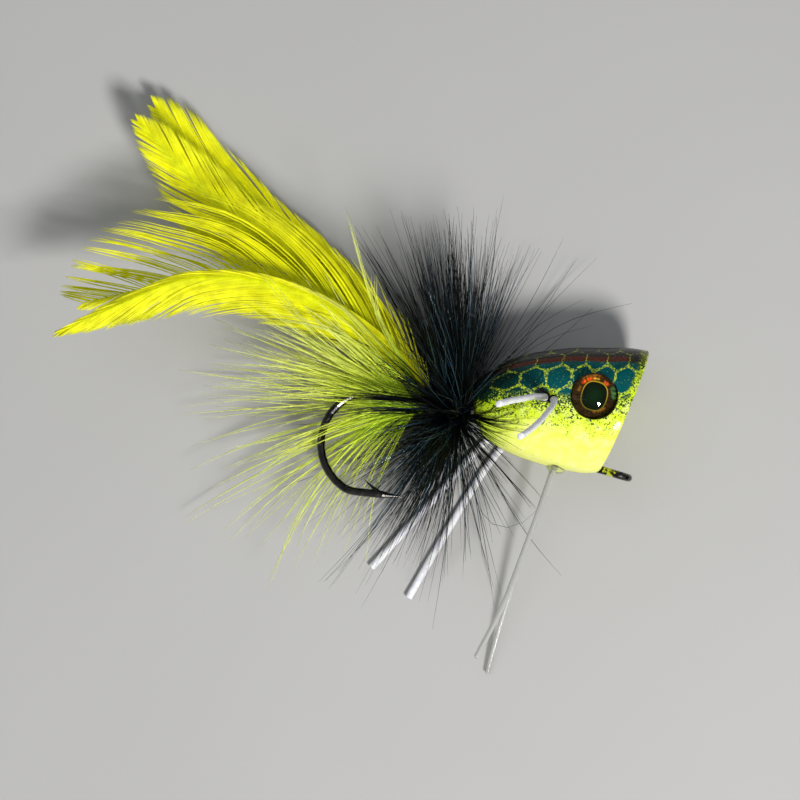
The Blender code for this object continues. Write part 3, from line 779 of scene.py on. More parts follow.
def make_head():
    verts, faces = skin(head_rings())
    head = closed("head", verts, faces, head_finish())
    cutters = []
    for side in (1, -1):
        ends = [(EYE_X, EYE_Y, SHANK_HEIGHT + side * out) for out in (SOCKET_FLOOR, SOCKET_TOP)]
        cutters.append(rod("socket", *ends, EYE_RADIUS + SOCKET_GAP, (1, 0, 0), 72))
    for hole_x, hole_y, radius in LEG_HOLES:
        ends = (hole_x, hole_y, CUT_LOW), (hole_x, hole_y, CUT_HIGH)
        cutters.append(rod("leg_hole", *ends, radius, (1, 0, 0), 32))
    for side in (1, -1):
        z = SHANK_HEIGHT + side * PRONG_SPREAD
        ends = (PRONG_X, BELOW_HEAD, z), (PRONG_X, PRONG_HOLE_TOP, z)
        cutters.append(rod("guard_hole", *ends, PRONG_RADIUS + GAP, (0, 0, 1), 24))
    cutters.append(slot_cutter())
    cut(head, cutters)
    head.data.shade_smooth()
    head.data.set_sharp_from_angle(angle=math.radians(38))
    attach(head, "lure")
    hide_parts("popper_body")


# Eyes


def turned(name, outline, centre, side, finish):
    """A piece turned about the lure's crosswise axis, from (distance, radius) points."""
    sides = 80
    turns = 2 * np.pi * np.arange(sides) / sides
    rings = []
    for distance, radius in outline:
        out = np.full(sides, side * distance)
        ring = np.stack([np.cos(turns) * radius, np.sin(turns) * radius, out], axis=1)
        rings.append(ring + np.array(centre))
    verts, faces = skin(rings)
    made = closed(name, verts, faces, finish)
    made.data.shade_smooth()
    made.data.set_sharp_from_angle(angle=math.radians(50))
    return made


def make_eyes():
    foil = foil_finish()
    clear = clear_finish("eye_dome", (1.0, 1.0, 1.0), 1.0, 0.0, 1.28, (0.97, 0.97, 0.97), 0.0)
    foil_base = SOCKET_FLOOR + GAP
    foil_top = foil_base + FOIL_THICKNESS
    dome_base = foil_top + 0.02
    rise = SHANK_HEIGHT - dome_base - DOME_EDGE
    ball = (EYE_RADIUS**2 + rise**2) / (2 * rise)
    centre = (EYE_X, EYE_Y, SHANK_HEIGHT)
    for side, name in ((1, "near"), (-1, "far")):
        disc = [(foil_base, 0.02), (foil_base, EYE_RADIUS - 0.05)]
        disc += [(foil_base + 0.08, EYE_RADIUS), (foil_top, EYE_RADIUS)]
        disc += [(foil_top, r) for r in np.linspace(EYE_RADIUS - 0.1, 0.02, 6)]
        piece = turned(f"iris_{name}", disc, centre, side, foil)
        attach(piece, "lure")
        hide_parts(f"eye_foil_{name}")
        dome = [(dome_base, 0.02), (dome_base, EYE_RADIUS - 0.02), (dome_base + 0.02, EYE_RADIUS)]
        for turn in np.radians(np.linspace(0, 89.6, 22)):
            radius = EYE_RADIUS * math.cos(turn)
            dome.append((SHANK_HEIGHT - ball + math.sqrt(ball**2 - radius**2), radius))
        piece = turned(f"dome_{name}", dome, centre, side, clear)
        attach(piece, "lure")
        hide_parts(f"eye_dome_{name}")


# Legs and weed guard

LEG_RADIUS = 0.5
# The strands are not quite round: the direction they are thinnest in, and by how much
LEG_FLATS = {"near": ((0.85, -0.53, 0.05), 0.76), "far": ((0.0, 0.0, 1.0), 0.86)}
REAR_LEG_X = -12.35
FRONT_LEG_X = -11.05
LEG_Y = 7.0
NEAR_LEG_START = 16.2
# Heights between which a near leg goes over from the head to its own body
FAR_LEG_HEIGHT = 0.55
LEGS = {
    "leg_near_rear": [(REAR_LEG_X, LEG_Y, 14.9), (REAR_LEG_X, LEG_Y, NEAR_LEG_START), (-13.9, 6.6, 21.0),
                      (-15.6, 5.8, 27.0), (-17.1, 5.1, 32.0), (-18.5, 4.3, 36.4)],
    "leg_near_front": [(FRONT_LEG_X, LEG_Y, 14.9), (FRONT_LEG_X, LEG_Y, NEAR_LEG_START), (-11.2, 6.2, 19.0),
                       (-11.8, 5.1, 23.0), (-12.7, 3.6, 28.0), (-13.7, 2.3, 32.0), (-14.8, 1.2, 36.0)],
    "leg_far_rear": [(REAR_LEG_X, LEG_Y, FAR_LEG_HEIGHT), (-17.6, -0.8, FAR_LEG_HEIGHT),
                     (-22.4, -10.9, FAR_LEG_HEIGHT), (-27.6, -21.6, FAR_LEG_HEIGHT)],
    "leg_far_front": [(FRONT_LEG_X, LEG_Y, FAR_LEG_HEIGHT), (-15.5, -1.6, FAR_LEG_HEIGHT),
                      (-19.4, -15.0, FAR_LEG_HEIGHT), (-21.6, -24.1, FAR_LEG_HEIGHT)],
}
PRONG_START = -2.32
GLUE_MIDDLE = (PRONG_X + 0.2, -1.45, SHANK_HEIGHT)
GLUE_HALF = (1.25, 0.75, 2.75)
PRONGS = {
    "weed_guard_prong_near": (
        "guard_near", [(PRONG_X, PRONG_START, SHANK_HEIGHT + PRONG_SPREAD), (-9.0, -12.3, 12.4),
                       (-9.8, -20.4, 14.9), (-11.4, -27.9, 18.0)]),
    "weed_guard_prong_far": (
        "guard_far", [(PRONG_X, PRONG_START, SHANK_HEIGHT - PRONG_SPREAD), (-8.4, -11.1, 5.0),
                      (-8.7, -21.1, 2.5), (-8.5, -30.8, 0.45)]),
}


def strand(name, route, radius, finish, body, facing, squeeze=1.0):
    """One round strand with slightly rounded ends."""
    path = Route(route)
    start = np.array([0.0, 0.04, 0.12])
    at = np.concatenate([start, np.linspace(0.3, path.length - 0.3, 64), path.length - start[::-1]])
    size = np.full(len(at), radius)
    size[[0, -1]] *= 0.75
    size[[1, -2]] *= 0.92
    verts, faces = tube_parts(path.point(at)[None], size[None], size[None] * squeeze, facing, 14)
    made = mesh_object(name, place(verts), faces, finish, body)
    made.data.set_sharp_from_angle(angle=math.radians(60))
    return made


def make_legs():
    rubber = rubber_finish()
    for name, route in LEGS.items():
        facing, squeeze = LEG_FLATS[name.split("_")[1]]
        piece = strand(f"strand_{name}", route, LEG_RADIUS, rubber, None, facing, squeeze)
        if "near" in name:
            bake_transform(piece)
        else:
            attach(piece, name)
        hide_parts(name)
    for node in ("leg_strand_rear", "leg_strand_front"):
        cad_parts[node].material_slots[0].material = rubber


def make_weed_guard():
    mono = clear_finish("guard_mono", (0.90, 0.91, 0.89), 0.64, 0.14, 1.5, (0.55, 0.55, 0.53), 0.06)
    glue = clear_finish("clear_glue", (0.93, 0.97, 0.72), 0.8, 0.12, 1.48, (0.75, 0.78, 0.5), 0.4)
    for name, (body, route) in PRONGS.items():
        piece = strand(f"prong_{body}", route, PRONG_RADIUS, mono, body, (0.2, 0.1, 0.97))
        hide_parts(name)
    for node in ("weed_guard_root_near", "weed_guard_root_far"):
        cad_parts[node].material_slots[0].material = mono
    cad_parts["slot_glue"].material_slots[0].material = glue
    turns = 2 * np.pi * np.arange(40) / 40
    lumps = 1 + 0.07 * np.sin(3 * turns + 1.0) + 0.05 * np.cos(2 * turns)
    rings = []
    for tilt in np.radians(np.linspace(-88, 88, 15)):
        wide = lumps * math.cos(tilt)
        high = np.full(len(turns), math.sin(tilt))
        ring = np.stack([wide * np.cos(turns), high, wide * np.sin(turns)], axis=1)
        rings.append(ring * GLUE_HALF + GLUE_MIDDLE)
    blob = closed("glue_blob", *skin(rings), glue)
    blob.data.shade_smooth()
    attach(blob, "lure")
    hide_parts("weed_guard_glue")


# Thread

THREAD_RADIUS = 0.09
WINDINGS = {
    "thread_base": [(-26.55, 1.12), (-24.0, 1.16), (-21.65, 1.12)],
    "head_wrap": [(-21.3, 0.95), (-21.25, 1.25), (-21.05, 1.28), (-20.9, 1.1), (-20.8, 0.95)],
    "tail_wrap": [(-26.3, 1.65), (-26.1, 2.05), (-25.75, 2.18), (-25.4, 2.0), (-25.2, 1.65)],
}


def make_thread():
    """Each wrap as thread wound round the shank, there and back."""
    finish = thread_finish()
    rng = np.random.default_rng(21)
    for name, profile in WINDINGS.items():
        low, high = profile[0][0], profile[-1][0]
        turns = (high - low) / (THREAD_RADIUS * 2.1)
        steps = int(turns * 22)
        at = np.linspace(0.0, 1.0, steps)
        verts = []
        faces = []
        for layer in range(2):
            x = low + (high - low) * at + 0.03 * np.sin(at * 40 + layer)
            radius = np.interp(x, *np.array(profile).T) - layer * THREAD_RADIUS * 1.4
            angle = 2 * np.pi * turns * at * (1 if layer == 0 else -1) + layer
            radius = radius + 0.02 * rng.standard_normal(steps)
            y = REAR_SHANK_Y + radius * np.cos(angle)
            z = SHANK_HEIGHT + radius * np.sin(angle)
            path = np.stack([x, y, z], axis=1)[None]
            size = np.full((1, steps), THREAD_RADIUS)
            more, quads = tube_parts(path, size, size * 0.9, (1, 0, 0), 6)
            faces += [[i + sum(len(v) for v in verts) for i in f] for f in quads]
            verts.append(more)
        piece = mesh_object(f"{name}_winding", place(np.concatenate(verts)), faces, finish, "lure")
        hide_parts(name)


# Hackle

HACKLE_POINTS = 11
# How far from the middle of the shank the barbs start
WOUND_RADIUS = 1.3
LAID_RADIUS = 1.25
COLLAR_BARBS = 120
LAID_BARBS = 30
LOOSE_SHARE = 0.4
BARBS_PER_CLUMP = 4
GLOSSY_SHARE = 0.13
GLOSSY_THICKER = 1.35


def grow(starts, directions, lengths, steps, bend, floor):
    """Fibres that bend steadily as they grow, and lie along the surface where they meet it."""
    now = starts.copy()
    heading = unit(directions)
    paths = [now]
    step = (lengths / (steps - 1))[:, None]
    for _ in range(steps - 1):
        heading = unit(heading + bend / (steps - 1))
        ahead = now + heading * step
        low = ahead[:, 2] < floor
        heading[low, 2] = 0.0
        heading = unit(heading)
        ahead = now + heading * step
        ahead[:, 2] = np.maximum(ahead[:, 2], floor)
        now = ahead
        paths.append(now)
    return np.stack(paths, axis=1)


def clear_of_head(paths, margin):
    """Push points that are inside the head out to its skin."""
    x, y, z = paths[..., 0], paths[..., 1], paths[..., 2]
    middle, half = head_outline(x)
    half = np.where((x > -21.8) & (x < -1.0), half, 0.01)
    up = y - middle
    out = z - SHANK_HEIGHT
    reach = np.sqrt((up / (half + margin)) ** 2 + (out / (half * WIDTH_TO_HEIGHT + margin)) ** 2)
    push = np.where((reach < 1.0) & (half > 0.1), 1.0 / np.maximum(reach, 0.05), 1.0)
    moved = paths.copy()
    moved[..., 1] = middle + up * push
    moved[..., 2] = np.maximum(SHANK_HEIGHT + out * push, 0.1)
    return moved


def soften(paths, times):
    """Round off sudden turns, and keep both ends."""
    for _ in range(times):
        paths[:, 1:-1] = 0.25 * paths[:, :-2] + 0.5 * paths[:, 1:-1] + 0.25 * paths[:, 2:]
    return paths


def barb_profile(rng, count):
    """Half widths of hackle barbs from root to tip."""
    steps = np.linspace(0.0, 1.0, HACKLE_POINTS)
    profile = np.interp(steps, [0.0, 0.2, 0.7, 1.0], [0.080, 0.052, 0.037, 0.011])
    return profile[None, :] * rng.uniform(0.75, 1.15, count)[:, None]


def wound_barbs(x_low, x_high, count, sweep, reach, rng):
    """Barbs wound round the shank, leaning back by more over the back than over the belly."""
    clumps = count // BARBS_PER_CLUMP
    turn = rng.uniform(0.0, 2 * np.pi, clumps)
    member = rng.integers(0, clumps, count)
    loose = rng.random(count) < LOOSE_SHARE
    free_turn = rng.uniform(0.0, 2 * np.pi, count)
    own_turn = np.where(loose, free_turn, turn[member] + rng.normal(0.0, 0.03, count))
    # Lean of the clumps, a few of them far off the rest, and of the loose barbs
    wide = np.where(rng.random(clumps) < 0.14, 2.2, 1.0)
    below = np.clip(-np.cos(turn), 0.0, 1.0)
    lean = sweep + 5.0 * np.cos(turn) + rng.normal(0.0, 9.0, clumps) * wide * (1.0 + 0.8 * below)
    own_lean = lean[member] + rng.normal(0.0, 1.6, count)
    own_lean = np.where(loose, sweep + 5.0 * np.cos(own_turn) + rng.normal(0.0, 12.0, count), own_lean)
    own_lean = np.radians(own_lean)
    # Shorter on the near side and below
    length = rng.uniform(*reach, clumps)[member] * rng.uniform(0.82, 1.08, count)
    length = np.where(np.sin(own_turn) > 0.35, length * 0.84, length)
    length *= np.where(np.cos(own_turn) < -0.3, rng.uniform(0.45, 1.0, clumps)[member], 1.0)
    radial = np.stack([np.zeros(count), np.cos(own_turn), np.sin(own_turn)], axis=1)
    direction = radial * np.cos(own_lean)[:, None]
    direction[:, 0] = -np.sin(own_lean)
    starts = radial * WOUND_RADIUS + np.array((0.0, REAR_SHANK_Y, SHANK_HEIGHT))
    starts[:, 0] = rng.uniform(x_low, x_high, count)
    bend = np.cross(radial, (1.0, 0.0, 0.0)) * rng.normal(0.0, 0.16, count)[:, None]
    bend[:, 0] += rng.normal(-0.13, 0.13, count)
    bend[:, 2] -= 0.10
    paths = grow(starts, direction, length, HACKLE_POINTS, bend, rng.uniform(0.1, 1.5, count))
    # The tips of a clump draw together
    held = ~loose
    totals = np.maximum(np.bincount(member[held], minlength=clumps), 1)
    sums = [np.bincount(member[held], weights=paths[held, -1, k], minlength=clumps) for k in range(3)]
    tips = np.stack(sums, axis=1) / totals[:, None]
    share = (np.linspace(0.0, 1.0, HACKLE_POINTS) ** 1.6)[None, :, None] * 0.6 * held[:, None, None]
    paths += share * (tips[member] - paths[:, -1])[:, None, :]
    return paths


def laid_barbs(count, x_range, ahead, turns, leans, lengths, rng):
    """Barbs that lean far forward over the head (ahead 1) or back over the plumes (ahead -1)."""
    turn = rng.uniform(*turns, count)
    radial = np.stack([np.zeros(count), np.cos(turn), np.sin(turn)], axis=1)
    lean = np.radians(rng.uniform(*leans, count))
    direction = radial * np.cos(lean)[:, None]
    direction[:, 0] = ahead * np.sin(lean)
    starts = radial * LAID_RADIUS + np.array((0.0, REAR_SHANK_Y, SHANK_HEIGHT))
    starts[:, 0] = rng.uniform(*x_range, count)
    length = rng.uniform(*lengths, count) * np.interp(np.degrees(lean), [25, 78], [1.25, 0.9])
    bend = rng.normal(0.0, 0.12, (count, 3))
    return grow(starts, direction, length, HACKLE_POINTS, bend, rng.uniform(0.1, 1.5, count))


# Single barbs that stray from the rest, each by its own route
STRAYS = (
    ((-22.0, 0.8, 9.8), (-18.0, -6.8, 8.5), (-13.6, -12.0, 8.0), (-9.8, -10.2, 8.5), (-8.0, -5.4, 10.0)),
    ((-21.9, 1.0, 9.9), (-16.9, -3.4, 9.0), (-12.0, -8.6, 7.5), (-7.0, -12.6, 6.0), (-2.9, -15.1, 5.0)),
    ((-22.0, 0.5, 9.4), (-17.0, -8.0, 8.0), (-13.7, -14.4, 6.0), (-10.1, -22.1, 3.0)),
    ((-22.0, 3.2, 9.9), (-18.4, 9.5, 10.5), (-12.5, 17.4, 11.0), (-4.6, 22.2, 11.0)),
    ((-22.0, 3.1, 10.0), (-19.6, 8.6, 11.5), (-16.0, 15.6, 12.0), (-11.0, 20.8, 12.0)),
    ((-21.9, 3.0, 10.0), (-18.9, 7.6, 11.0), (-14.0, 14.6, 11.0), (-8.6, 18.0, 11.0)),
)
# Tufts of the rear hackle that lie back over the near plume: barbs, spread at the tips, and the way
LAID_TUFTS = (
    (34, 0.4, ((-28.5, 1.8, 14.4), (-32.0, 1.1, 16.4), (-37.2, -0.2, 17.4), (-40.6, -1.3, 17.6))),
    (24, 0.5, ((-28.3, 0.4, 14.2), (-33.0, -0.8, 16.0), (-37.4, -2.7, 16.6))),
    (7, 0.3, ((-28.4, 3.8, 14.8), (-31.8, 5.7, 18.0), (-34.2, 5.5, 19.4), (-35.6, 4.2, 19.8))),
    (9, 0.4, ((-28.3, 3.4, 14.8), (-32.8, 4.2, 18.2), (-37.3, 4.4, 20.4))),
    (8, 0.4, ((-28.4, 2.4, 14.4), (-31.5, 1.9, 17.2), (-35.1, 2.2, 19.2), (-37.6, 2.9, 20.2))),
)
# Each hackle: where it is wound, number of barbs, lean back in degrees, lengths and seed
HACKLES = (
    ("hackle_front", -22.5, -21.75, 620, 6.0, (18.5, 27.5), 11),
    ("hackle_rear", -24.6, -22.9, 700, 13.0, (19.5, 29.5), 12),
)


def make_hackle(name, x_low, x_high, count, sweep, reach, seed, finish, gloss):
    """One wound hackle with a few glossier barbs, whose bright blue-grey colour is a painted glint. The front
    one has the collar over the head and the strays, and the rear one the tufts laid over the near plume.
    """
    rng = np.random.default_rng(seed)
    sets = [wound_barbs(x_low, x_high, count, sweep, reach, rng)]
    steps = np.linspace(0.0, 1.0, HACKLE_POINTS)
    if name == "hackle_front":
        turns = (0.0, 2 * np.pi)
        sets.append(laid_barbs(COLLAR_BARBS, (-22.1, -21.6), 1.0, turns, (25.0, 78.0), (4.0, 10.5), rng))
        routes = [Route(stray) for stray in STRAYS]
        sets.append(np.stack([route.point(steps * route.length) for route in routes]))
    else:
        turns = (0.12 * np.pi, 0.85 * np.pi)
        sets.append(laid_barbs(LAID_BARBS, (-25.0, -24.2), -1.0, turns, (52.0, 84.0), (7.0, 14.0), rng))
        for barbs, spread, tuft in LAID_TUFTS:
            route = Route([(-24.8, 2.6, 11.2)] + list(tuft))
            ends = route.length * rng.uniform(0.6, 1.0, barbs)
            paths = np.stack([route.point(steps * end) for end in ends])
            aside = rng.normal(0.0, spread, (barbs, 1, 3)) * (1.0, 1.0, 0.5)
            sets.append(paths + aside * (0.2 + 0.8 * steps)[None, :, None])
    paths = soften(clear_of_head(np.concatenate(sets), 0.22), 2)
    total = len(paths)
    # Barbs that get the glossy finish with its painted glint
    shiny_with_painted_glint = (rng.random(total) < GLOSSY_SHARE) & (np.arange(total) < len(sets[0]))
    size = barb_profile(rng, total) * np.where(shiny_with_painted_glint, GLOSSY_THICKER, 1.0)[:, None]
    facing = (0.2, 0.3, 0.93)
    piece = fibres(f"barbs_{name}", paths, size, size, facing, 4, finish, "lure", rng, glossy=(gloss, shiny_with_painted_glint))
    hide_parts(name)


# Feathers

TAIL_ROOT_X = -26.9
VANE_POINTS = 12
FEATHERS = {
    "feather_far_outer": (
        [(TAIL_ROOT_X, 3.0, 6.1), (-30.0, 5.8, 4.0), (-36.0, 11.0, 2.6), (-46.0, 17.0, 2.4),
         (-56.5, 21.2, 2.8), (-65.0, 24.6, 3.2), (-73.0, 29.6, 3.6)], (0, 0, 1)),
    "feather_far_inner": (
        [(TAIL_ROOT_X, 4.0, 7.7), (-30.5, 6.3, 6.6), (-38.0, 10.4, 5.2), (-50.0, 15.4, 5.2),
         (-62.0, 20.0, 6.2), (-74.4, 27.0, 8.0)], (0, 0, 1)),
    "feather_near_inner": (
        [(TAIL_ROOT_X, 4.0, 9.7), (-31.0, 6.2, 11.6), (-38.0, 8.7, 12.9), (-50.0, 10.6, 13.4),
         (-58.0, 9.8, 13.9), (-65.0, 6.6, 14.2), (-73.8, 1.6, 14.6)], (0, 0, 1)),
    "feather_near_outer": (
        [(TAIL_ROOT_X, 3.0, 11.3), (-31.8, 6.6, 13.7), (-39.7, 9.8, 15.4), (-46.8, 11.1, 16.5),
         (-52.9, 10.9, 17.4), (-57.8, 9.8, 18.3), (-61.6, 8.3, 19.0), (-65.6, 5.4, 19.6),
         (-69.3, 2.1, 20.5), (-74.9, -2.9, 21.7)], (0, -0.28, 1)),
}
# For each side of a feather, belly side first: longest barb, angle from the quill in degrees, fold away
# from the flat, spread of the clumps in degrees, pull into points, barbs for each millimetre, and how
# far the vane reaches from the quill at points along it
VANES = {
    "feather_far_outer": (
        (19.0, 20.0, 0.06, 1.5, 0.28, 4.0,
         [(0.0, 1.0), (0.2, 4.0), (0.5, 6.0), (0.8, 4.6), (0.93, 2.6), (1.0, 1.0), (1.03, 0.0)]),
        (20.0, 15.0, 0.10, 1.5, 0.28, 4.2,
         [(0.0, 0.6), (0.15, 1.1), (0.24, 1.4), (0.36, 2.0), (0.6, 2.2), (0.73, 3.2), (0.86, 4.0),
          (0.93, 3.8), (1.0, 2.2), (1.03, 0.6)])),
    "feather_far_inner": (
        (20.0, 20.0, 0.10, 1.8, 0.32, 4.0,
         [(0.0, 1.0), (0.2, 4.0), (0.5, 6.2), (0.7, 6.2), (0.8, 5.2), (0.85, 4.0), (0.95, 2.4),
          (1.0, 1.0), (1.02, 0.0)]),
        (17.0, 17.0, 0.05, 1.6, 0.28, 3.8,
         [(0.0, 0.6), (0.2, 2.0), (0.5, 3.2), (0.8, 4.0), (0.95, 2.6), (1.0, 1.0), (1.02, 0.0)])),
    "feather_near_inner": (
        (15.0, 17.0, 0.12, 2.5, 0.5, 2.4,
         [(0.0, 0.8), (0.2, 3.0), (0.5, 5.0), (0.8, 3.6), (1.0, 1.0), (1.04, 0.0)]),
        (27.0, 28.0, 0.05, 3.6, 0.85, 2.0,
         [(0.0, 0.8), (0.2, 4.5), (0.4, 9.0), (0.55, 11.5), (0.75, 11.5), (0.9, 9.5), (1.0, 6.0),
          (1.05, 1.5), (1.07, 0.0)])),
    "feather_near_outer": (
        (24.0, 11.5, 0.22, 1.4, 0.22, 5.6,
         [(0.0, 1.2), (0.1, 3.2), (0.25, 5.4), (0.4, 6.5), (0.55, 6.1), (0.65, 5.4), (0.75, 4.3),
          (0.85, 2.9), (0.93, 1.7), (1.0, 0.5), (1.02, 0.0)]),
        (16.0, 5.5, 0.7, 0.8, 0.22, 4.4,
         [(0.0, 0.4), (0.3, 0.8), (0.6, 0.9), (0.9, 0.6), (1.0, 0.3), (1.01, 0.0)])),
}


def vane(route, facing, side, settings, rng):
    """Paths of the barbs on one side of a quill, each as long as the vane's outline lets it be."""
    longest, first_angle, fold, spread, pull, density, outline = settings
    count = int(route.length * density)
    root = np.linspace(0.008, 0.99, count) + rng.normal(0.0, 0.002, count)
    # Neighbouring barbs cling together in clumps
    ends = np.cumsum(rng.integers(2, 8, count))
    clump = np.searchsorted(ends, np.arange(count), side="right")
    total = clump.max() + 1
    angle = first_angle * (1.12 - 0.22 * root) + rng.normal(0.0, 0.7, count)
    angle = angle + rng.normal(0.0, spread, total)[clump]
    fine = np.linspace(0.0, 1.0, 60)
    turning = np.radians(angle)[:, None] * (1.08 - 0.34 * fine[None, :])
    step = longest / (len(fine) - 1)
    zero = np.zeros((count, 1))
    # Each barb in the plane of the vane: a along the quill, b out from it, and c off the plane
    a = np.concatenate([zero, np.cumsum(np.cos(turning[:, :-1]) * step, axis=1)], axis=1)
    a = root[:, None] * route.length + a
    b = np.concatenate([zero, np.cumsum(np.sin(turning[:, :-1]) * step, axis=1)], axis=1)
    edge = np.interp(a / route.length, *np.array(outline).T)
    edge = edge * (rng.uniform(0.93, 1.04, count) * rng.uniform(0.94, 1.04, total)[clump])[:, None]
    outside = b > np.maximum(edge, 0.02)
    last = np.where(outside.any(axis=1), np.argmax(outside, axis=1), len(fine) - 1)
    last = np.maximum(last * rng.uniform(0.95, 1.0, count), 3.0)
    t = np.linspace(0.0, 1.0, VANE_POINTS)
    spot = last[:, None] * t[None, :]
    low = np.minimum(spot.astype(int), len(fine) - 2)
    part = spot - low
    rows = np.arange(count)[:, None]
    a = a[rows, low] * (1 - part) + a[rows, low + 1] * part
    b = b[rows, low] * (1 - part) + b[rows, low + 1] * part
    for values, share in ((a, 0.4), (b, 1.0)):
        sums = np.bincount(clump, weights=values[:, -1], minlength=total)
        means = sums / np.maximum(np.bincount(clump, minlength=total), 1)
        values += (t**2.2)[None, :] * (pull * share * (means[clump] - values[:, -1]))[:, None]
    layer = rng.normal(0.0, 0.11, total)[clump] + rng.normal(0.0, 0.05, count)
    c = 0.12 + layer[:, None] * t[None, :] - fold * b - 0.012 * b**2
    ahead = route.direction(a)
    facing = np.asarray(facing, float) / np.linalg.norm(facing)
    across = unit(np.cross(facing, ahead))
    thick = unit(np.cross(ahead, across))
    return route.point(a) + across * (side * b)[..., None] + thick * c[..., None]


def make_feathers(yellow):
    for k, (name, (spine, facing)) in enumerate(FEATHERS.items()):
        rng = np.random.default_rng(40 + k)
        route = Route(spine)
        sides = zip((1, -1), VANES[name])
        paths = np.concatenate([vane(route, facing, side, settings, rng) for side, settings in sides])
        count, points, _ = paths.shape
        t = np.linspace(0.0, 1.0, points)
        profile = np.interp(t, [0.0, 0.1, 0.75, 1.0], [0.10, 0.115, 0.10, 0.02])
        widths = profile[None, :] * rng.uniform(0.8, 1.2, count)[:, None]
        quill_points = np.linspace(0.0, route.length, 60)
        quill = route.point(quill_points)[None]
        thick = np.interp(quill_points / route.length, [0.0, 0.3, 1.0], [0.26, 0.16, 0.04])[None]
        verts, faces = tube_parts(quill, thick, thick * 0.9, facing, 8)
        offset = count * points * 4
        faces = [[i + offset for i in f] for f in faces]
        extra = [(verts, faces, np.full(len(verts), 0.2), np.full(len(verts), 0.9))]
        body = "tail_far" if "far" in name else "tail_near"
        piece = fibres(f"barbs_{name}", paths, widths, widths * 0.4, facing, 4, yellow, body, rng, extra)
        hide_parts(name)


# Marabou

FLUFF_RADIUS = 0.024
FLUFF_PER_BARB = 40
PLUME_POINTS = 14
PLUME_ROOT_Y = 1.1
PLUME_ROOT_OUT = 1.7
# Barbs that follow the route of each stray wisp
STRAY_COPIES = 3
# For each plume: its side of the shank, then wisps by the share of them up to each angle of the fan, in
# degrees from the shank's line towards the back, and how many wisps
PLUMES = {
    "marabou_far": (
        -1, [(0.0, -80.0), (0.10, -62.0), (0.40, -34.0), (0.75, -4.0), (0.92, 18.0), (1.0, 30.0)], 36),
    "marabou_near": (
        1, [(0.0, -40.0), (0.06, -14.0), (0.14, 2.0), (0.45, 12.0), (0.78, 24.0), (0.93, 38.0),
            (1.0, 56.0)], 46),
}


def plume_barbs(side, shares, wisps, rng):
    """Wavy barbs in wisps, fanning out from a plume's stem."""
    pick = (np.arange(wisps) + rng.uniform(0.0, 1.0, wisps)) / wisps
    fan = np.interp(pick, *np.array(shares).T)
    length = rng.uniform(20.0, 31.0, wisps)
    length *= np.interp(fan, [-80, -50, 0, 25, 62], [1.05, 1.12, 1.0, 0.86, 0.6])
    over = np.interp(fan, [-10.0, 12.0, 60.0], [0.0, 17.0, 24.0])
    lift = over + rng.normal(3.0, 3.0, wisps) if side > 0 else rng.normal(-5.0, 5.0, wisps)
    each = rng.integers(2, 5, wisps)
    member = np.repeat(np.arange(wisps), each)
    count = len(member)
    own_fan = np.radians(fan[member] + rng.normal(0.0, 3.6, count))
    own_lift = np.radians(lift[member] + rng.normal(0.0, 2.0, count))
    own_length = length[member] * rng.uniform(0.72, 1.04, count)
    stem = rng.uniform(0.0, 3.5, wisps)[member]
    starts = np.stack([
        TAIL_ROOT_X - stem,
        PLUME_ROOT_Y + 0.25 * stem * np.tan(np.clip(own_fan, -0.6, 0.6)) + rng.normal(0.0, 0.35, count),
        SHANK_HEIGHT + side * (PLUME_ROOT_OUT + rng.uniform(-0.5, 0.7, count)),
    ], axis=1)
    first = own_fan * 0.85
    flat = np.cos(own_lift)
    direction = np.stack([-np.cos(first) * flat, np.sin(first) * flat, np.sin(own_lift)], axis=1)
    aside = np.stack([np.sin(first), np.cos(first), np.zeros(count)], axis=1)
    droop = rng.normal(-0.10, 0.26, wisps)[member] + rng.normal(0.0, 0.10, count)
    bend = aside * (own_fan * 0.25 + droop)[:, None]
    bend[:, 2] -= rng.uniform(0.05, 0.3, count) if side > 0 else 0.0
    floor = rng.uniform(0.15, 2.5, count)
    paths = grow(starts, direction, own_length, PLUME_POINTS, bend, floor)
    t = np.linspace(0.0, 1.0, PLUME_POINTS)
    turns = rng.uniform(3.0, 8.0, count)[:, None]
    wave = np.sin(t[None, :] * turns + rng.uniform(0.0, 6.3, count)[:, None]) * t
    paths += aside[:, None, :] * (wave * rng.uniform(0.1, 0.45, count)[:, None])[..., None]
    paths[..., 2] = np.maximum(paths[..., 2] + wave * 0.2, floor[:, None] * 0.5)
    return paths


# Wisps of the near plume that stray from the rest, each by its own route
STRAY_WISPS = (
    ((-27.5, 2.8, 11.5), (-33.5, 8.2, 15.5), (-37.6, 12.6, 17.5), (-40.9, 17.6, 18.5), (-44.9, 24.2, 18.5)),
    ((-27.4, 2.6, 11.5), (-33.2, 7.6, 15.5), (-36.8, 12.0, 17.5), (-38.4, 16.6, 18.5)),
    ((-27.6, 2.5, 11.5), (-34.5, 7.2, 15.0), (-41.5, 10.6, 18.0), (-48.6, 11.6, 19.5)),
    ((-27.6, 2.4, 11.0), (-35.0, 5.8, 14.0), (-43.0, 7.4, 17.0), (-50.0, 6.6, 18.5)),
)


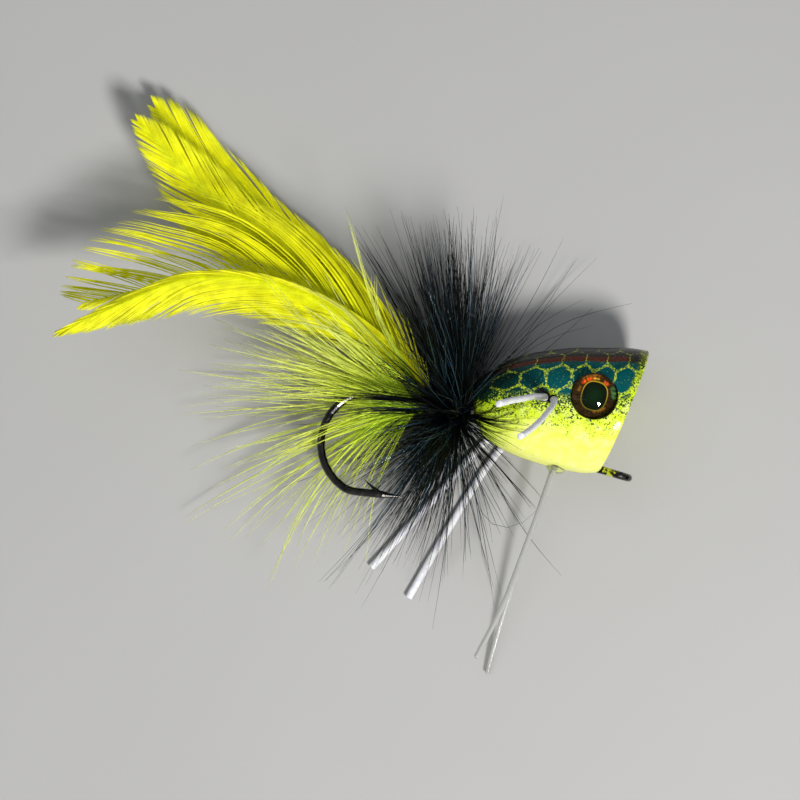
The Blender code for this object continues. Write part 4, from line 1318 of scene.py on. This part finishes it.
def fluff(paths, per, first_vertex, rng):
    """Short needles on both sides of each barb, shorter towards its tip."""
    count, points, _ = paths.shape
    owner = np.repeat(np.arange(count), per)
    at = np.tile(np.linspace(0.03, 0.95, per), count) + rng.normal(0.0, 0.01, count * per)
    spot = np.clip(at, 0.0, 0.999) * (points - 1)
    low = spot.astype(int)
    part = (spot - low)[:, None]
    roots = paths[owner, low] * (1 - part) + paths[owner, low + 1] * part
    heading = unit(paths[owner, low + 1] - paths[owner, low])
    lateral = unit(np.cross(heading, (0.0, 0.0, 1.0))) * rng.choice([-1.0, 1.0], count * per)[:, None]
    out = unit(heading * 0.95 + lateral * 0.5 + rng.normal(0.0, 0.2, (count * per, 3)))
    reach = np.interp(at, [0.0, 0.25, 0.7, 1.0], [1.5, 1.3, 0.65, 0.3]) * rng.uniform(0.5, 1.2, count * per)
    tips = roots + out * reach[:, None]
    tips[:, 2] = np.maximum(tips[:, 2], 0.05)
    verts, faces = needle_parts(roots, tips, FLUFF_RADIUS, first_vertex)
    return verts, faces, np.repeat(np.clip(at, 0.0, 1.0), 4), np.repeat(rng.random(count * per), 4)


def make_marabou(lime):
    """Two soft plumes: thin wavy barbs with fluff along them."""
    t = np.linspace(0.0, 1.0, PLUME_POINTS)
    for seed, (name, (side, shares, wisps)) in enumerate(PLUMES.items(), 61):
        rng = np.random.default_rng(seed)
        paths = plume_barbs(side, shares, wisps, rng)
        if side > 0:
            routes = [Route(stray) for stray in STRAY_WISPS for _ in range(STRAY_COPIES)]
            ends = [route.length * rng.uniform(0.88, 1.0) for route in routes]
            more = np.stack([route.point(t * end) for route, end in zip(routes, ends)])
            more += rng.normal(0.0, 0.25, (len(more), 1, 3)) * (0.3 + 0.7 * t)[None, :, None]
            paths = np.concatenate([paths, more])
        count = len(paths)
        profile = np.interp(t, [0.0, 0.3, 0.8, 1.0], [0.095, 0.08, 0.055, 0.018])
        widths = profile[None, :] * rng.uniform(0.75, 1.3, count)[:, None]
        extra = [fluff(paths, FLUFF_PER_BARB, count * PLUME_POINTS * 3, rng)]
        piece = fibres(f"plume_{name}", paths, widths, widths * 0.7, (0, 0, 1), 3, lime, "plumes", rng, extra)
        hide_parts(name)


# Stage

LAMPS = (
    # Name, azimuth and elevation in degrees, distance and size in metres, watts, colour
    ("key", -38.0, 54.0, 0.62, 0.15, 3.9, (1.0, 0.985, 0.96)),
    ("fill", 150.0, 62.0, 0.8, 0.7, 1.5, (0.93, 0.96, 1.0)),
)
FLOOR_HALF = 1.5
# A little under the surface, clear of the pieces that rest on it
FLOOR_HEIGHT = -0.00002
CAMERA_PLACE = (0.0062, 0.0013, 0.400)
CAMERA_TURN = 16.5
SENSOR_WIDTH = 36.0
LENS = 132.7


def make_stage():
    data = bpy.data.meshes.new("floor")
    corners = [(x * FLOOR_HALF, y * FLOOR_HALF, 0) for x, y in ((-1, -1), (1, -1), (1, 1), (-1, 1))]
    data.from_pydata(corners, [], [(0, 1, 2, 3)])
    data.materials.append(floor_finish())
    floor = linked("floor", data)
    floor.location.z = FLOOR_HEIGHT

    world = bpy.data.worlds.new("studio")
    bpy.context.scene.world = world
    world.use_nodes = True
    tree = world.node_tree
    height = tree.nodes.new("ShaderNodeSeparateXYZ")
    tree.links.new(tree.nodes.new("ShaderNodeTexCoord").outputs["Generated"], height.inputs[0])
    glow = tree.nodes.new("ShaderNodeValToRGB")
    tree.links.new(height.outputs["Z"], glow.inputs[0])
    glow.color_ramp.elements[0].color = (0.04, 0.042, 0.045, 1.0)
    glow.color_ramp.elements[1].color = (0.22, 0.23, 0.24, 1.0)
    backdrop = tree.nodes.new("ShaderNodeMix")
    backdrop.data_type = "RGBA"
    tree.links.new(tree.nodes.new("ShaderNodeLightPath").outputs["Is Camera Ray"], backdrop.inputs[0])
    tree.links.new(glow.outputs["Color"], backdrop.inputs[6])
    backdrop.inputs[7].default_value = (0.20, 0.205, 0.21, 1.0)
    tree.links.new(backdrop.outputs[2], tree.nodes["Background"].inputs["Color"])

    for name, azimuth, elevation, distance, size, watts, colour in LAMPS:
        light = bpy.data.lights.new(name, "AREA")
        light.shape = "DISK"
        light.size = size
        light.energy = watts
        light.color = colour
        lamp = linked(name, light)
        turn, rise = math.radians(azimuth), math.radians(elevation)
        away = Vector((math.cos(turn) * math.cos(rise), math.sin(turn) * math.cos(rise), math.sin(rise)))
        # A reflection of the fill, wide and weak, would only add grain to the eye dome
        lamp.visible_glossy = name == "key"
        lamp.location = away * distance
        lamp.rotation_euler = away.to_track_quat("Z", "Y").to_euler()

    camera_data = bpy.data.cameras.new("camera")
    camera_data.sensor_width = SENSOR_WIDTH
    camera_data.lens = LENS
    camera = linked("camera", camera_data)
    camera.location = CAMERA_PLACE
    camera.rotation_euler = (0.0, 0.0, math.radians(CAMERA_TURN))
    bpy.context.scene.camera = camera
    bpy.context.scene.view_settings.view_transform = "Standard"


def main():
    make_stage()
    make_head()
    make_eyes()
    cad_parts["hook"].material_slots[0].material = wire_finish()
    make_legs()
    make_weed_guard()
    make_thread()
    black = fibre_finish("hackle_black", (0.0005, 0.0008, 0.0008), (0.002, 0.004, 0.004),
                         (0.005, 0.007, 0.007), 0.9, (0.35, 0.55), Specular_IOR_Level=0.12)
    # Glossy barbs: real gloss and coat, with a painted glint in the bright blue-grey middle of their colour
    gloss = fibre_finish("hackle_gloss_and_painted_glint", (0.006, 0.012, 0.016), (0.05, 0.10, 0.14), (0.02, 0.035, 0.045),
                         0.9, (0.14, 0.22), Specular_IOR_Level=1.0, Specular_Tint=(0.55, 0.80, 1.0),
                         Coat_Weight=0.8, Coat_Roughness=0.15, Coat_Tint=(0.7, 0.9, 1.0))
    for name, x_low, x_high, count, sweep, reach, seed in HACKLES:
        make_hackle(name, x_low, x_high, count, sweep, reach, seed, black, gloss)
    yellow = fibre_finish("feather_yellow", (0.74, 0.80, 0.001), (0.86, 0.85, 0.001), (0.90, 0.91, 0.02),
                          0.22, (0.45, 0.65), Specular_IOR_Level=0.25)
    make_feathers(yellow)
    lime = fibre_finish("marabou_lime", (0.62, 0.94, 0.012), (0.86, 0.98, 0.09), (0.93, 0.98, 0.30),
                        0.22, (0.5, 0.7), Specular_IOR_Level=0.25)
    make_marabou(lime)


main()
